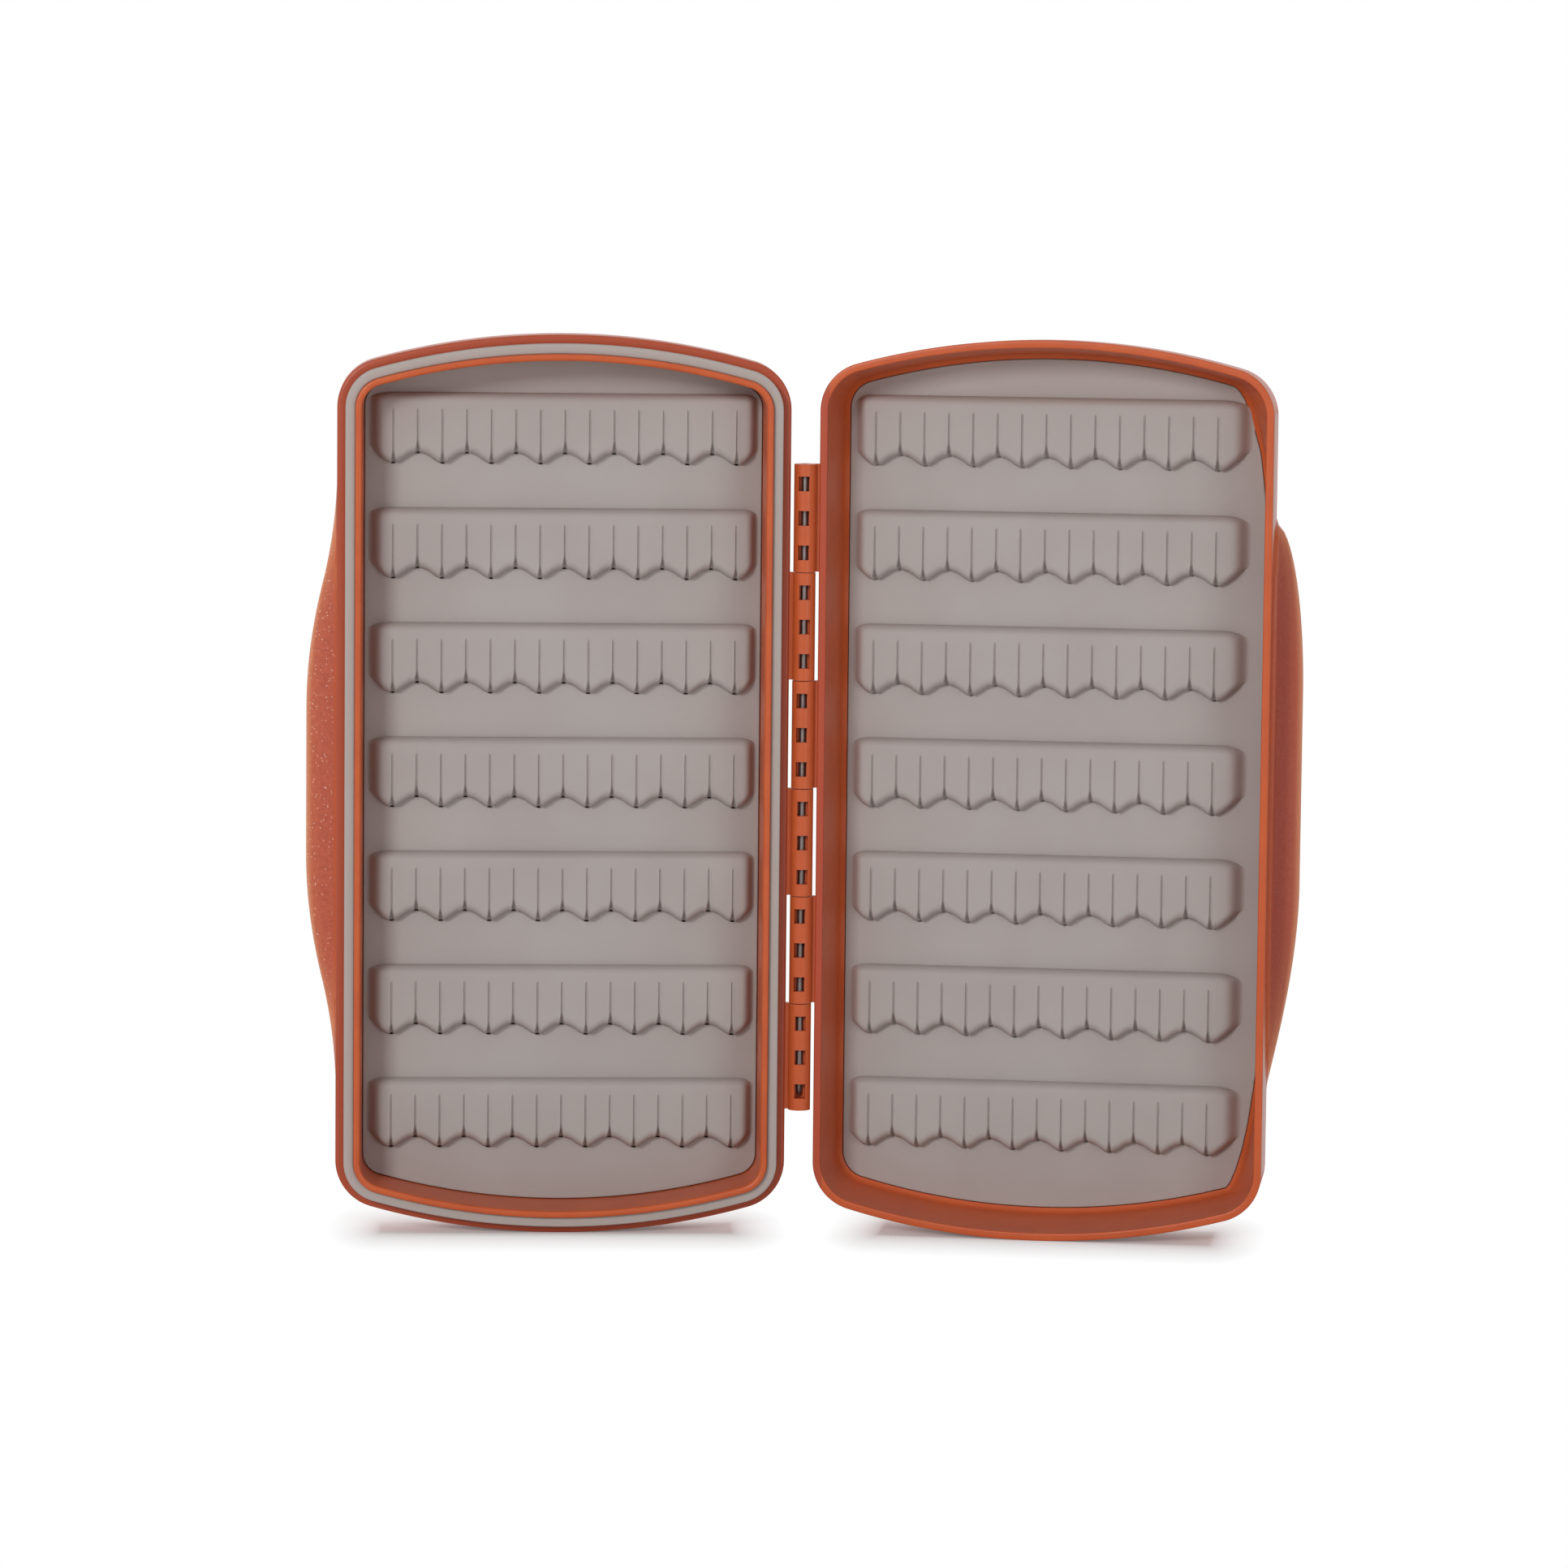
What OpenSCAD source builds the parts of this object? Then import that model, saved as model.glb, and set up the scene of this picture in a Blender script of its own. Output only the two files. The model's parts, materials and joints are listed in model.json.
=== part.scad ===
// Fly box standing open on its arched ends.
// Millimetres. Z runs up along the hinge pin, the open trays face -Y,
// the base is on the -X side and the lid on the +X side.
// Origin: middle of the footprint, on the floor.
// Inside each half, a is the distance out from the pin, d the depth behind
// the plane where the halves meet, z the height above mid length.

/* [Case outline] */
// Length of each half along the pin
case_l = 184; // [182:1:194]
// Width of each half without its grip
case_w = 92; // [90:0.5:98]
// Distance from the pin axis to the near wall of each half
hinge_off = 2.9; // [2.8:0.05:3.4]
// Depth of the base behind the meeting plane
base_d = 13; // [13:0.1:16]
// Depth of the lid behind the meeting plane
lid_d = 18.4; // [18.4:0.1:22]
// Radius of the arched ends
arch_r = 143; // [138:1:180]
// Radius of the four corners
corner_r = 10; // [9.5:0.1:12]
// Radius of the rounded back edges
back_r = 4.5; // [3.5:0.1:4.7]
// Angle by which the open halves fall short of flat
rest_turn = 10.5; // [0:0.5:14]

/* [Walls] */
// Thickness of the base wall at its edge
base_wall = 2; // [1.8:0.05:2.2]
// Thickness of the lid wall at its edge
lid_wall = 1.85; // [1.7:0.05:1.95]
// Thickness of the lid wall where it meets the inner fillet
lid_wall_deep = 2.3; // [2.1:0.05:2.6]
// Thickness of the floor of each half
floor_t = 1.9; // [1.6:0.1:2.1]
// Step of the base edge below the meeting plane
edge_drop = 0.3; // [0.3:0.05:0.6]
// Small bevel along the wall edges
edge_c = 0.3; // [0.1:0.05:0.4]

/* [Side grips] */
// Reach of the base grip beyond the wall
base_grip_out = 6.3; // [5.5:0.1:8]
// Reach of the lid grip beyond the wall
lid_grip_out = 5.9; // [5.5:0.1:8]
// Half length of the straight middle of the base grip
base_grip_flat = 13; // [8:1:18]
// Height where the base grip fades into the wall
base_grip_end = 64; // [58:1:72]
// Half length of the straight middle of the lid grip
lid_grip_flat = 20; // [10:1:24]
// Height where the lid grip fades into the wall
lid_grip_end = 70; // [60:1:74]
// Distance from the back face to the start of the grip shelf
grip_d = 5.8; // [5.4:0.1:6.4]
// Radius of the grip's outer edge
nose_r = 2.2; // [1.8:0.1:2.4]

/* [Seal] */
// Gap between the sealing band and the lid wall when shut
seal_gap = 0.25; // [0.2:0.01:0.35]
// Width of the sealing band
seal_w = 1.66; // [1.5:0.02:1.9]
// Height of the sealing band face above the meeting plane
seal_h = 2.2; // [1.6:0.1:2.6]
// Height of the inner frame above the meeting plane
frame_h = 4.2; // [3.6:0.1:4.8]
// Wall thickness of the inner frame
frame_t = 1.6; // [1.4:0.05:1.8]
// Depth of the ledge that carries the sealing band
ledge_d = 0.8; // [0.6:0.1:1.2]
// Gap between the inner frame and the base wall
frame_gap = 0.05; // [0.02:0.01:0.1]

/* [Hinge] */
// Overall length of the six barrels
hinge_l = 132.6; // [126:0.6:138]
// Outer diameter of the barrels
barrel_dia = 4.4; // [4.2:0.1:4.6]
// Diameter of the pin
pin_dia = 1.4; // [1.2:0.05:1.6]
// Radial gap between the pin and the lid barrels
pin_run_gap = 0.05; // [0.03:0.01:0.1]
// Radial gap between the pin and the base barrels that grip it
pin_hold_gap = 0.02; // [0.01:0.005:0.03]
// Gap between neighbouring barrels
barrel_gap = 0.16; // [0.1:0.02:0.4]
// Depth of the web that joins a barrel to its half
web_d = 1.9; // [1.4:0.1:2]
// Width of the windows in the barrels
window_w = 2.1; // [1.6:0.1:2.3]
// Height of the windows in the barrels
window_h = 3; // [2.4:0.1:3.2]
// Spacing of the windows in a barrel
window_pitch = 7; // [6.6:0.1:7.2]
// Length of the solid cap above the pin
pin_cap = 1.2; // [0.8:0.1:2]
// Distance from the pin tip to the bottom of the last barrel
pin_short = 2.9; // [2:0.1:4]

/* [Mats] */
// Thickness of the mat between its rows
mat_t = 1.1; // [0.8:0.1:1.4]
// Thickness of the film under the mat
film_t = 0.2; // [0.1:0.05:0.3]
// Gap around each mat
mat_gap = 0.1; // [0.05:0.01:0.2]
// Inset of the film from the mat outline
film_inset = 0.6; // [0.2:0.1:1.5]
// Inset of the lid floor from the lid outline
lid_floor_in = 4.7; // [4.4:0.1:5]

/* [Slit rows] */
// Spacing of the rows
row_pitch = 23.5; // [22:0.1:23.6]
// Height of the rows above the mat
row_h = 3; // [2:0.1:3.4]
// Length of a row from its top line to the ends of its lobes
row_len = 14.6; // [13:0.1:15.4]
// Height of the lobes between the arches
lobe_h = 2.1; // [1.4:0.1:2.6]
// Upward shift of the group of rows
row_up = 2.15; // [1.8:0.05:2.4]
// Room kept above and below the group of rows, measured from the corner centres
row_room = 1.2; // [0.8:0.1:1.4]
// Width of the rounded top edge of a row
row_edge = 1.6; // [0.8:0.1:2]
// Spacing of the slits
slit_pitch = 5; // [4.6:0.02:5.04]
// Width of a slit
slit_w = 0.36; // [0.3:0.02:0.6]
// Width of the open mouth of a slit
slit_mouth = 0.8; // [0.6:0.05:1]
// Length of the open mouth of a slit
slit_mouth_l = 2.7; // [2:0.1:3.2]
// Distance from the top line of a row to the start of its slits
slit_start = 2.95; // [2.6:0.05:3.4]
// Shift of the base rows from mid width toward the pin
base_shift = 0.3; // [0:0.05:0.5]
// Shift of the lid rows from mid width toward the pin
lid_shift = 1.05; // [0.6:0.05:1.2]
// Distance from an end slit to where the row starts to slope down
end_flat = 2.4; // [1.6:0.1:2.6]
// Width of the sloping end of a row
end_run = 2.3; // [1.6:0.1:2.4]
// Distance from the last lid slit to where the row starts to slope down
far_flat = 3.6; // [2.4:0.1:4]
// Width of the sloping end of a lid row beside the grip
far_run = 5; // [2.4:0.1:5.2]

/* [Hidden] */

shell_color = "#c4532b";
soft_color = "#9f9390";
steel_color = "#c8cacc";
film_color = "#e6e2d8";
edge_color = "#a9a19c";

eps = 0.01;
half_l = case_l / 2;
half_w = case_w / 2;
mid_a = hinge_off + half_w;
far_a = hinge_off + case_w;
// Corner and arch centres of the outline, from the middle of a half
corner_x = half_w - corner_r;
arch_z = half_l - arch_r;
corner_z = arch_z + sqrt(pow(arch_r - corner_r, 2) - pow(corner_x, 2));
corner_turn = atan2(corner_z - arch_z, corner_x);

// Insets from the outline, walking inward through the seal
seal_in = lid_wall + seal_gap;
frame_out_in = seal_in + seal_w;
frame_in = frame_out_in + frame_t;
base_mat_in = frame_in + mat_gap;
lid_mat_in = lid_floor_in + mat_gap;

// Depths of the floors and mats
base_floor = base_d - floor_t;
lid_floor = lid_d - floor_t;
base_mat_back = base_floor - film_t;
lid_mat_back = lid_floor - film_t;
base_mat_face = base_mat_back - mat_t;
lid_mat_face = lid_mat_back - mat_t;

// Lid fillet from the wall to the edge of the mat
fillet_r = 4;
fillet_run = lid_floor_in - lid_wall_deep;
fillet_top = lid_mat_face - sqrt(pow(fillet_r, 2) - pow(fillet_r - fillet_run, 2));

// Base pocket that holds the inner frame
pocket_r = 2.6;

// Barrels, counted from the top; even ones belong to the lid
barrel_n = 6;
barrel_r = barrel_dia / 2;
barrel_pitch = hinge_l / barrel_n;
pin_r = pin_dia / 2;
pin_top = hinge_l / 2 - pin_cap;
pin_tip = -hinge_l / 2 + pin_short;
tip_l = 1.1;

// Rows and slits, as many as the tray inside the inner frame has room for
row_n = 1 + floor((2 * (corner_z + row_room) - row_len) / row_pitch);
row_room_w = case_w - 2 * (frame_in + end_flat + end_run);
slit_n = 1 + 2 * floor(row_room_w / (2 * slit_pitch));
slit_run = (slit_n - 1) * slit_pitch;
rows_top = row_up + ((row_n - 1) * row_pitch + row_len) / 2;
// Height of the diagonal cut at the lower corners of a row
end_cut = 3.4;
far_cut = 5.9;

// Shift from the pin axis at mid length to the middle of the footprint
x_low = -(far_a + base_grip_out);
x_high = (far_a + lid_grip_out - nose_r) * cos(rest_turn)
    + (lid_d - nose_r) * sin(rest_turn) + nose_r;
y_low = min(-frame_h, -(far_a - edge_c) * sin(rest_turn));
y_high = -(hinge_off + back_r) * sin(rest_turn)
    + (lid_d - back_r) * cos(rest_turn) + back_r;
origin_x = (x_low + x_high) / 2;
origin_y = (y_low + y_high) / 2;

// Share of the full reach of a grip at height z
function grip_share(z, flat, end) =
    let (t = abs(z), mid = (flat + end) / 2)
    t <= flat ? 1
    : t < mid ? 1 - 2 * pow((t - flat) / (end - flat), 2)
    : t < end ? 2 * pow((end - t) / (end - flat), 2)
    : 0;

function arc(cx, cz, r, from, to, steps) = [for (i = [0:steps])
    let (t = from + (to - from) * i / steps) [cx + r * cos(t), cz + r * sin(t)]];

// Outline of a half, inset by g, with its far side pushed out by e at mid length
function outline(g, e = 0, flat = 10, end = 60) = concat(
    [for (i = [1:29])
        let (z = -corner_z + 2 * corner_z * i / 30)
        [far_a - g + e * grip_share(z, flat, end), z]],
    arc(mid_a + corner_x, corner_z, corner_r - g, 0, corner_turn, 7),
    arc(mid_a, arch_z, arch_r - g, corner_turn + 1.5, 180 - corner_turn - 1.5, 12),
    arc(mid_a - corner_x, corner_z, corner_r - g, 180 - corner_turn, 180, 7),
    arc(mid_a - corner_x, -corner_z, corner_r - g, 180, 180 + corner_turn, 7),
    arc(mid_a, -arch_z, arch_r - g, 181.5 + corner_turn, 358.5 - corner_turn, 12),
    arc(mid_a + corner_x, -corner_z, corner_r - g, 360 - corner_turn, 360, 7));

function at_depth(points, d) = [for (p = points) [p[0], d, p[1]]];

// Inset of the rounded back edge at depth d
function back_in(d, deep) = d <= deep - back_r ? 0
    : back_r - sqrt(max(0, pow(back_r, 2) - pow(d - deep + back_r, 2)));

// Triangles between ring j and the ring that follows it
function band(j, next, n) = concat(
    [for (i = [0:n - 1]) [j * n + i, j * n + (i + 1) % n, next * n + (i + 1) % n]],
    [for (i = [0:n - 1]) [j * n + i, next * n + (i + 1) % n, next * n + i]]);

// Tray through rings of equal count, from its inner floor over the edge to its back
module tray(rings) {
    n = len(rings[0]);
    k = len(rings);
    polyhedron(
        points = concat(
            [for (r = rings) each r],
            [[mid_a, rings[0][0][1], 0], [mid_a, rings[k - 1][0][1], 0]]),
        faces = concat(
            [for (i = [0:n - 1]) [k * n, (i + 1) % n, i]],
            [for (j = [0:k - 2]) each band(j, j + 1, n)],
            [for (i = [0:n - 1]) [k * n + 1, (k - 1) * n + i, (k - 1) * n + (i + 1) % n]]),
        convexity = 8);
}

// Closed band through rings of equal count, the last joined to the first
module hoop(rings) {
    n = len(rings[0]);
    k = len(rings);
    polyhedron(
        points = [for (r = rings) each r],
        faces = [for (j = [0:k - 1]) each band(j, (j + 1) % k, n)],
        convexity = 8);
}

// Slab between two depths, from a flat shape drawn in a and z
module slab(from, to) {
    translate([0, to, 0])
        rotate([90, 0, 0])
            linear_extrude(to - from)
                children();
}

module base_place() {
    translate([-origin_x, -origin_y, half_l])
        mirror([1, 0, 0])
            children();
}

module lid_place() {
    translate([-origin_x, -origin_y, half_l])
        rotate([0, 0, -rest_turn])
            children();
}

// Outside of a half from its edge: straight wall, grip shelf, rounded back
function outside(top, deep, reach, flat, end) = concat(
    [at_depth(outline(edge_c), top),
        at_depth(outline(0), top + edge_c),
        at_depth(outline(0), deep - grip_d)],
    [for (t = [-70, -45, -20, 5, 25, 45, 60, 75, 90])
        let (d = deep - nose_r + nose_r * sin(t),
            g = back_in(d, deep),
            e = reach - nose_r + nose_r * cos(t))
        at_depth(outline(g, e + g, flat, end), d)]);

// Rounded pocket corner at inset g, from the floor up to the wall
function pocket(g) = [for (t = [90, 60, 30, 0])
    at_depth(outline(g + pocket_r * (1 - cos(t))), base_floor - pocket_r * (1 - sin(t)))];

// Barrels of one half with their webs; first is 0 for the lid and 1 for the base
module barrels(first, hole_r, hole_top) {
    long = barrel_pitch - barrel_gap;
    difference() {
        for (i = [first:2:barrel_n - 1])
            translate([0, 0, hinge_l / 2 - (i + 1) * barrel_pitch + barrel_gap / 2]) {
                cylinder(r = barrel_r, h = long, $fn = 40);
                translate([0, edge_drop + edge_c, 0])
                    cube([hinge_off + 1, web_d - edge_drop - edge_c, long]);
            }
        translate([0, 0, -hinge_l / 2 - 1])
            cylinder(r = hole_r, h = hole_top + hinge_l / 2 + 1, $fn = 24);
        for (i = [first:2:barrel_n - 1])
            translate([-window_w / 2, 0, hinge_l / 2 - (i + 0.5) * barrel_pitch])
                windows();
    }
}

// Three front windows of a barrel, with two rear ones between them
module windows() {
    for (k = [-1, 0, 1])
        translate([0, -barrel_r - 1, k * window_pitch - window_h / 2])
            cube([window_w, barrel_r + 1, window_h]);
    for (k = [-0.5, 0.5])
        translate([0, 0, k * window_pitch - window_h / 2])
            cube([window_w, barrel_r + 1, window_h]);
}

module base_shell() {
    color(shell_color)
        base_place() {
            tray(concat(
                pocket(base_wall),
                [at_depth(outline(base_wall), edge_drop)],
                outside(edge_drop, base_d, base_grip_out, base_grip_flat, base_grip_end)));
            barrels(1, pin_r + pin_hold_gap, hinge_l / 2 + 1);
        }
}

module seal_frame() {
    out = base_wall + frame_gap;
    ease = 0.4;
    color(shell_color)
        base_place()
            hoop(concat(
                [at_depth(outline(frame_in), base_floor),
                    at_depth(outline(frame_in), -frame_h + ease),
                    at_depth(outline(frame_in - ease * 0.3), -frame_h + ease * 0.3),
                    at_depth(outline(frame_in - ease), -frame_h),
                    at_depth(outline(frame_out_in + ease), -frame_h),
                    at_depth(outline(frame_out_in + ease * 0.3), -frame_h + ease * 0.3),
                    at_depth(outline(frame_out_in), -frame_h + ease),
                    at_depth(outline(frame_out_in), ledge_d),
                    at_depth(outline(out), ledge_d)],
                [for (i = [3:-1:0]) pocket(out)[i]]));
}

module gasket() {
    ease = 0.35;
    color(edge_color)
        base_place()
            hoop([at_depth(outline(frame_out_in), ledge_d),
                at_depth(outline(frame_out_in), -seal_h + ease),
                at_depth(outline(frame_out_in - ease * 0.3), -seal_h + ease * 0.3),
                at_depth(outline(frame_out_in - ease), -seal_h),
                at_depth(outline(seal_in + ease), -seal_h),
                at_depth(outline(seal_in + ease * 0.3), -seal_h + ease * 0.3),
                at_depth(outline(seal_in), -seal_h + ease),
                at_depth(outline(seal_in), ledge_d)]);
}

module hinge_pin() {
    color(steel_color)
        base_place()
            union() {
                translate([0, 0, pin_tip + tip_l])
                    cylinder(r = pin_r, h = pin_top - pin_tip - tip_l, $fn = 24);
                translate([0, 0, pin_tip])
                    cylinder(r1 = 0.15, r2 = pin_r, h = tip_l, $fn = 24);
            }
}

// Inside of the lid from its floor up to its edge; the floor spreads under the grip
function lid_inside() = concat(
    [at_depth(outline(lid_floor_in, lid_grip_out, lid_grip_flat, lid_grip_end), lid_floor)],
    [for (i = [6:-1:0])
        let (d = fillet_top + (lid_mat_face - fillet_top) * i / 6,
            g = lid_wall_deep + fillet_r - sqrt(pow(fillet_r, 2) - pow(d - fillet_top, 2)))
        at_depth(outline(g, lid_grip_out * pow(i / 6, 3), lid_grip_flat, lid_grip_end), d)],
    [at_depth(outline(lid_wall), 0.25),
        at_depth(outline(lid_wall - 0.25), 0)]);

module lid_shell() {
    color(shell_color)
        lid_place() {
            tray(concat(
                lid_inside(),
                outside(0, lid_d, lid_grip_out, lid_grip_flat, lid_grip_end)));
            barrels(0, pin_r + pin_run_gap, pin_top + 0.2);
        }
}

// Lower edge of a row at distance t from its first slit, below its top line
function row_low(t) = row_len - lobe_h * (1 - cos(180 * t / slit_pitch)) / 2;

// Flat shape of one row with its slits cut out, from its first slit and top line;
// near and far are the distances from the end slits to the feet of the ends
module row_shape(near, far, cut) {
    steps = 8 * (slit_n - 1) / 2;
    difference() {
        polygon(concat(
            [[slit_run + far, 0], [-near, 0], [-near, end_cut - row_len],
                [-slit_mouth * 2, -row_len]],
            [for (i = [0:steps])
                let (t = slit_run * i / steps)
                [t, -row_low(t)]],
            [[slit_run + slit_mouth * 2, -row_len], [slit_run + far, cut - row_len]]));
        for (i = [0:slit_n - 1])
            translate([i * slit_pitch, 0]) {
                low = row_low(i * slit_pitch);
                polygon([[-slit_w / 2, -slit_start],
                    [-slit_w / 2, slit_mouth_l - low],
                    [-slit_mouth / 2, -low - 0.1],
                    [slit_mouth / 2, -low - 0.1],
                    [slit_w / 2, slit_mouth_l - low],
                    [slit_w / 2, -slit_start]]);
            }
    }
}

// Rows on a mat whose face is at depth face, kept inside the outline of the mat;
// first is the place of the first slit, flat and run describe the end beside the grip
module rows(face, first, near_flat, flat, run, cut, edge) {
    near = first - near_flat - end_run;
    far = first + slit_run + flat + run;
    top = face - row_h;
    difference() {
        slab(top, face + eps)
            intersection() {
                polygon(edge);
                for (i = [0:row_n - 1])
                    translate([first, rows_top - i * row_pitch])
                        row_shape(first - near, far - first - slit_run, cut);
            }
        translate([0, 0, -half_l])
            linear_extrude(case_l)
                polygon([[near, face], [near + end_run, top], [near + end_run, top - 1],
                    [near - 1, top - 1], [near - 1, face]]);
        translate([0, 0, -half_l])
            linear_extrude(case_l)
                polygon([[far, face], [far + 1, face], [far + 1, top - 1],
                    [far - run, top - 1], [far - run, top]]);
        for (i = [0:row_n - 1])
            translate([0, face, rows_top - i * row_pitch])
                rotate([90, 0, 90])
                    linear_extrude(far_a)
                        polygon([[0, -row_h * 0.4], [-row_edge, -row_h],
                            [-row_edge, -row_h - 1], [1, -row_h - 1],
                            [1, -row_h * 0.4]]);
    }
}

module base_mat() {
    edge = outline(base_mat_in);
    color(soft_color)
        base_place() {
            slab(base_mat_face, base_mat_back)
                polygon(edge);
            rows(base_mat_face, mid_a - base_shift - slit_run / 2, end_flat,
                end_flat, end_run, end_cut, edge);
        }
}

module base_mat_adhesive() {
    color(film_color)
        base_place()
            slab(base_mat_back, base_floor)
                polygon(outline(base_mat_in + film_inset));
}

module lid_mat() {
    edge = outline(lid_mat_in, lid_grip_out, lid_grip_flat, lid_grip_end);
    color(soft_color)
        lid_place() {
            slab(lid_mat_face, lid_mat_back)
                polygon(edge);
            rows(lid_mat_face, mid_a - lid_shift - slit_run / 2, end_flat - 0.4,
                far_flat, far_run, far_cut, edge);
        }
}

module lid_mat_adhesive() {
    color(film_color)
        lid_place()
            slab(lid_mat_back, lid_floor)
                polygon(outline(lid_mat_in + film_inset, lid_grip_out,
                    lid_grip_flat, lid_grip_end));
}

base_shell();
seal_frame();
gasket();
base_mat();
base_mat_adhesive();
hinge_pin();
lid_shell();
lid_mat();
lid_mat_adhesive();
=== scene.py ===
"""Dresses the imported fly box: fine shells, slit mats, seal, hinge, light and camera.

Sizes are in millimetres, apart from those of the floor and the lamps, in metres. A place
on a half is (a, d, z): a is its distance out from the pin, d its depth behind the plane
where the halves meet, and z its height above mid length.
"""

import json
import logging
import math
from dataclasses import dataclass
from enum import Enum
from typing import Iterable, Mapping, Optional, Sequence, TypeVar, Union

import bmesh
import bpy
import numpy as np
from mathutils import Matrix, Vector

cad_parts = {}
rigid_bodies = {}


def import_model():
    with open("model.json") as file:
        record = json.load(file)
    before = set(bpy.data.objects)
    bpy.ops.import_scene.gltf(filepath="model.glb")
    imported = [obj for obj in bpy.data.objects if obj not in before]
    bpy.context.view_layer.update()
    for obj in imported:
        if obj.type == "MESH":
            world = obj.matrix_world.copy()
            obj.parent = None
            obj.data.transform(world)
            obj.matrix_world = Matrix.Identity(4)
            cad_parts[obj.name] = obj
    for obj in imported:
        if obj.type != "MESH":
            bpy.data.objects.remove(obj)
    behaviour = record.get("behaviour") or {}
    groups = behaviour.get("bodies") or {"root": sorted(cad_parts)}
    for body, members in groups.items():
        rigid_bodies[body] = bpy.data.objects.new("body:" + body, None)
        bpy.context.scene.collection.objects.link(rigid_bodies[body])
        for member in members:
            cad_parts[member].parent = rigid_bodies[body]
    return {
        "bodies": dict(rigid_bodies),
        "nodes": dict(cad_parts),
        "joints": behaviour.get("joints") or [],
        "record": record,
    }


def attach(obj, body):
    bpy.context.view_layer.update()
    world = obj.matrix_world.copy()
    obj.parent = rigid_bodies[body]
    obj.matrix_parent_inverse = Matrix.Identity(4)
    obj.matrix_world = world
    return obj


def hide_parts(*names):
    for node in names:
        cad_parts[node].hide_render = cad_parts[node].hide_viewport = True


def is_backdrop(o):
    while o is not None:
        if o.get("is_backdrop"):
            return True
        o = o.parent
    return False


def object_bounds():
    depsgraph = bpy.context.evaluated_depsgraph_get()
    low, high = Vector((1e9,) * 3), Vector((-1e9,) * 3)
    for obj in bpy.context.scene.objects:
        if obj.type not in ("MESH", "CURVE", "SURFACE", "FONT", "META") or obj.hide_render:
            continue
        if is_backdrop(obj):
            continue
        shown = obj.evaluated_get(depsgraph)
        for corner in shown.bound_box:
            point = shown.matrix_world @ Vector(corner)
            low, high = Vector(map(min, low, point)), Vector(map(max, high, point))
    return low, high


LOG = logging.getLogger("fly_box")
MM = 0.001
NOSE = "nose"
MERGE = 1e-7
UP = np.array([0.0, 0.0, 1.0])
WHITE = (1.0, 1.0, 1.0)

T = TypeVar("T")
Triple = tuple[float, float, float]
Table = tuple[Sequence[float], Sequence[float]]


class Half(Enum):
    """The two halves of the case, named as their CAD bodies are."""

    BASE = "base"
    LID = "lid"

    def pick(self, base: T, lid: T) -> T:
        """Gives the first value for the base and the second for the lid."""
        return base if self is Half.BASE else lid


class Light(Enum):
    """What each lamp is for."""

    KEY = "key"
    FILL = "fill"


# ---------------------------------------------------------------- sizes


@dataclass(frozen=True)
class Grip:
    """Side grip of a half: its reach, its straight middle and where its ends run out."""

    reach: float
    flat: float
    end: float

    def share(self, z: np.ndarray) -> np.ndarray:
        """Share of the full reach, falling to both ends in an S.

        Args:
            z: heights above mid length.

        Returns:
            The share, from 0 at the ends to 1 in the middle.
        """
        t = np.abs(z)
        mid, span = (self.flat + self.end) / 2, self.end - self.flat
        rise = 1 - 2 * ((t - self.flat) / span) ** 2
        fall = 2 * ((self.end - t) / span) ** 2
        inner = np.where(t < mid, rise, np.where(t < self.end, fall, 0.0))
        return np.where(t <= self.flat, 1.0, inner)


@dataclass(frozen=True)
class BowedGrip(Grip):
    """Side grip with bowed ends, the lower one longer."""

    low_end: float = 61.0
    low_power: float = 1.8

    def share(self, z: np.ndarray) -> np.ndarray:
        """Share of the full reach, falling to both ends in a bow.

        Args:
            z: heights above mid length.

        Returns:
            The share, from 0 at the ends to 1 in the middle.
        """
        past = np.clip(np.abs(z) - self.flat, 0, None)
        upper = np.sqrt(np.clip(1 - (past / (self.end - self.flat)) ** 2, 0, 1))
        lower = np.clip(1 - (past / (self.low_end - self.flat)) ** self.low_power, 0, 1)
        return np.where(z > 0, upper, lower)


@dataclass(frozen=True)
class TrayFloor:
    """How far the lid's floor spreads under the grip and draws in at its wide corners.

    Each table holds distances from mid length, and how far out the far side lies there.
    """

    top: Table = (
        (0, 20, 30, 40, 50, 55, 59.2, 64.2, 69.2, 74.2, 78, 80, 81.6, 82.9, 84, 92),
        (5.5, 5.5, 5.0, 4.2, 3.1, 2.6, 2.1, 1.55, 0.9, -0.55, -1.8, -2.6, -3.6, -5, -7.2, -26),
    )
    low: Table = (
        (0, 20, 30, 40, 50, 62, 68.7, 74, 78.2, 81, 83, 84.6, 86, 92),
        (5.5, 5.5, 5.0, 4.2, 3.0, 1.6, 0.65, -0.4, -1.6, -2.7, -4, -5.6, -7.8, -24),
    )

    def push(self, z: np.ndarray) -> np.ndarray:
        """How far the floor's far side lies out from its plain outline."""
        return np.where(z > 0, np.interp(z, *self.top), np.interp(-z, *self.low))


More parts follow.
